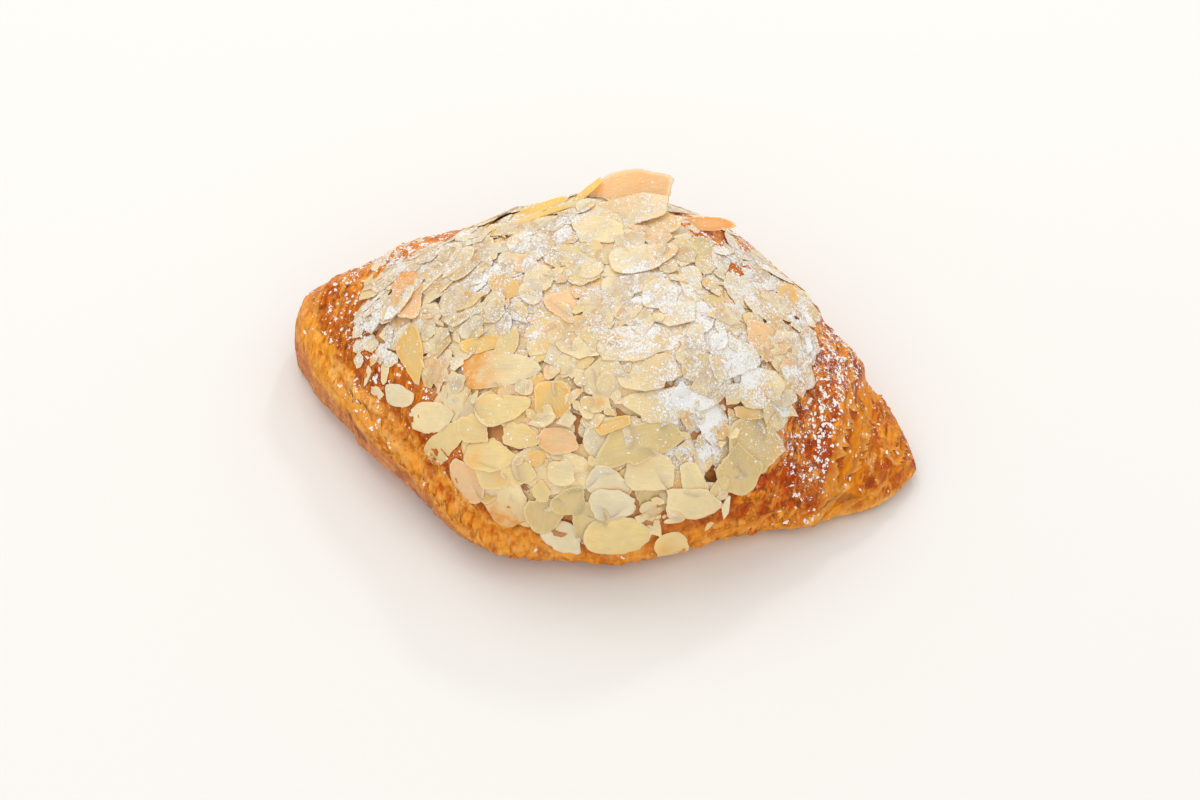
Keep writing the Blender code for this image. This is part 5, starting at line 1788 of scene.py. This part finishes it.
def drop_grains(tree, cover, bare, count, radii, rng, bare_share, bare_scale):
    """Drops grains from above until enough have settled; returns their places, normals and radii."""
    low, high = np.array(CAD_BOX[0]) / MM, np.array(CAD_BOX[1]) / MM
    found = []
    tries = 0
    while len(found) < count and tries < TRIES_PER_GRAIN * count:
        tries += 1
        x, y = rng.uniform(low[0], high[0]), rng.uniform(low[1], high[1])
        luck, size = rng.random(), rng.random()
        hit, normal, face, _ = tree.ray_cast(Vector((x, y, high[2] + 10)), Vector((0, 0, -1)))
        share, scale = (bare_share, bare_scale) if hit is not None and bare[face] else (1.0, 1.0)
        if hit is None or luck > cover[face] * share:
            continue
        if bare[face] and noise.noise(hit / CLUSTER_SIZE) < CLUSTER_LEVEL:
            continue
        if not bare[face] and noise.noise(hit / SLICE_CLUSTER) < 0.25 - 0.6 * cover[face]:
            continue
        radius = scale * (radii[0] + (radii[1] - radii[0]) * size ** 2)
        found.append((*hit, *normal, radius))
        for _ in range(rng.integers(0, CLUMP_NEIGHBOURS + 1) if bare[face] and scale > 1 else 0):
            beside = hit + Vector(rng.normal(size=3)).normalized() * radius * CLUMP_GAP
            spot, normal, _, _ = tree.find_nearest(beside)
            found.append((*spot, *normal, radius * rng.uniform(0.6, 1.0)))
    return np.array(found[:count])


def grains_mesh(name, template, grains, flatness, rng):
    """One mesh of many grains, copies of the template squashed along their normals and turned by chance."""
    base, triangles = template
    count = len(grains)
    normal = grains[:, 3:6] / np.linalg.norm(grains[:, 3:6], axis=1)[:, None]
    helper = rng.normal(size=(count, 3))
    side = np.cross(normal, helper)
    side = side / np.linalg.norm(side, axis=1)[:, None]
    other = np.cross(normal, side)
    stretch = rng.uniform(0.7, 1.35, (count, 1, 1))
    uneven = rng.uniform(0.78, 1.22, (count, len(base), 1))
    local = base[None] * uneven
    placed = (local[..., :1] * stretch * side[:, None] + local[..., 1:2] * other[:, None]
              + local[..., 2:] * flatness * normal[:, None])
    placed = placed * grains[:, 6][:, None, None] + grains[:, None, :3]
    faces = triangles[None] + (np.arange(count) * len(base))[:, None, None]
    points, faces = placed.reshape(-1, 3), faces.reshape(-1, 3)
    if signed_volume(points, faces) < 0:
        faces = faces[:, ::-1]
    return joined_mesh(name, points, faces)


class CROISSANT_OT_sugar(bpy.types.Operator):
    """Sifts icing sugar from above: soft clumps and fine grains on whatever faces up."""
    bl_idname = "croissant.sugar"
    bl_label = "Icing sugar"

    def execute(self, context):
        settings = context.scene.croissant
        rng = np.random.default_rng(SEED + 3)
        tree, cover, bare = surface_under_sugar()
        white = icing_sugar(settings)
        clump = ball_template("clump")
        # A grain's foot lies under the surface, where nobody sees how plain it is
        grain = shape_template(
            lambda: bpy.ops.mesh.primitive_cone_add(vertices=4, radius1=1.8, radius2=0, depth=2), "grain")
        for name, template, count, radii, share, scale in (
                ("sugar_clumps", clump, settings.clump_count, CLUMP_RADIUS, 2.6, CRUST_CLUMP),
                ("sugar_powder", grain, settings.powder_count, POWDER_RADIUS, CRUST_POWDER, 1.0)):
            grains = drop_grains(tree, cover, bare, count, radii, rng, share, scale)
            finish_piece(grains_mesh(name, template, grains, GRAIN_FLATNESS, rng), white)
        return {"FINISHED"}


class CROISSANT_OT_stage(bpy.types.Operator):
    """Sets the plain floor, the soft light and the camera."""
    bl_idname = "croissant.stage"
    bl_label = "Stage"

    def execute(self, context):
        settings = context.scene.croissant
        deselect_all()
        bpy.ops.mesh.primitive_plane_add(size=6.0, location=(0, 0, 0))
        floor = context.active_object
        floor.name = "floor"
        floor.data.materials.append(matt_white(settings))

        world = bpy.data.worlds.new("soft_white")
        world.use_nodes = True
        sky = world.node_tree.nodes["Background"]
        sky.inputs["Color"].default_value = (1.0, 0.995, 0.985, 1.0)
        sky.inputs["Strength"].default_value = 0.86
        context.scene.world = world
        context.scene.view_settings.view_transform = "Standard"
        for name, place, size, power in LIGHTS:
            light = bpy.data.lights.new(name, "AREA")
            light.size = size
            light.energy = power
            lamp = bpy.data.objects.new(name, light)
            lamp.location = place
            lamp.rotation_euler = (-Vector(place)).to_track_quat("-Z", "Y").to_euler()
            context.scene.collection.objects.link(lamp)

        camera = bpy.data.cameras.new("camera")
        camera.sensor_width = SENSOR_WIDTH
        camera.lens = FOCAL_PIXELS / PHOTO_WIDTH * SENSOR_WIDTH
        camera.clip_start = 0.01
        viewer = bpy.data.objects.new("camera", camera)
        turn, height = math.radians(CAMERA_TURN), math.radians(CAMERA_HEIGHT)
        level = math.cos(height)
        back = Vector((math.sin(turn) * level, -math.cos(turn) * level, math.sin(height)))
        viewer.location = (Vector(LOOK_AT) + back * CAMERA_DISTANCE) * MM
        viewer.rotation_euler = back.to_track_quat("Z", "Y").to_euler()
        context.scene.collection.objects.link(viewer)
        context.scene.camera = viewer
        return {"FINISHED"}


class CROISSANT_PT_sidebar(bpy.types.Panel):
    """Lists the croissant's pieces and settings."""
    bl_label = "Almond croissant"
    bl_idname = "CROISSANT_PT_sidebar"
    bl_space_type = "VIEW_3D"
    bl_region_type = "UI"
    bl_category = "Croissant"

    def draw(self, context):
        for operator in OPERATORS:
            self.layout.operator(operator.bl_idname)
        for name in CroissantSettings.__annotations__:
            self.layout.prop(context.scene.croissant, name)


OPERATORS = (CROISSANT_OT_stage, CROISSANT_OT_crust, CROISSANT_OT_layers, CROISSANT_OT_crumbs,
             CROISSANT_OT_cream, CROISSANT_OT_slices, CROISSANT_OT_pieces, CROISSANT_OT_sugar)
CLASSES = (CroissantSettings, *OPERATORS, CROISSANT_PT_sidebar)


def register():
    for thing in CLASSES:
        bpy.utils.register_class(thing)
    bpy.types.Scene.croissant = bpy.props.PointerProperty(type=CroissantSettings)


def unregister():
    del bpy.types.Scene.croissant
    for thing in reversed(CLASSES):
        bpy.utils.unregister_class(thing)


def main():
    register()
    bpy.ops.croissant.stage()
    bpy.ops.croissant.crust()
    bpy.ops.croissant.layers()
    bpy.ops.croissant.crumbs()
    bpy.ops.croissant.cream()
    bpy.ops.croissant.slices()
    bpy.ops.croissant.pieces()
    bpy.ops.croissant.sugar()


if __name__ == "__main__":
    main()
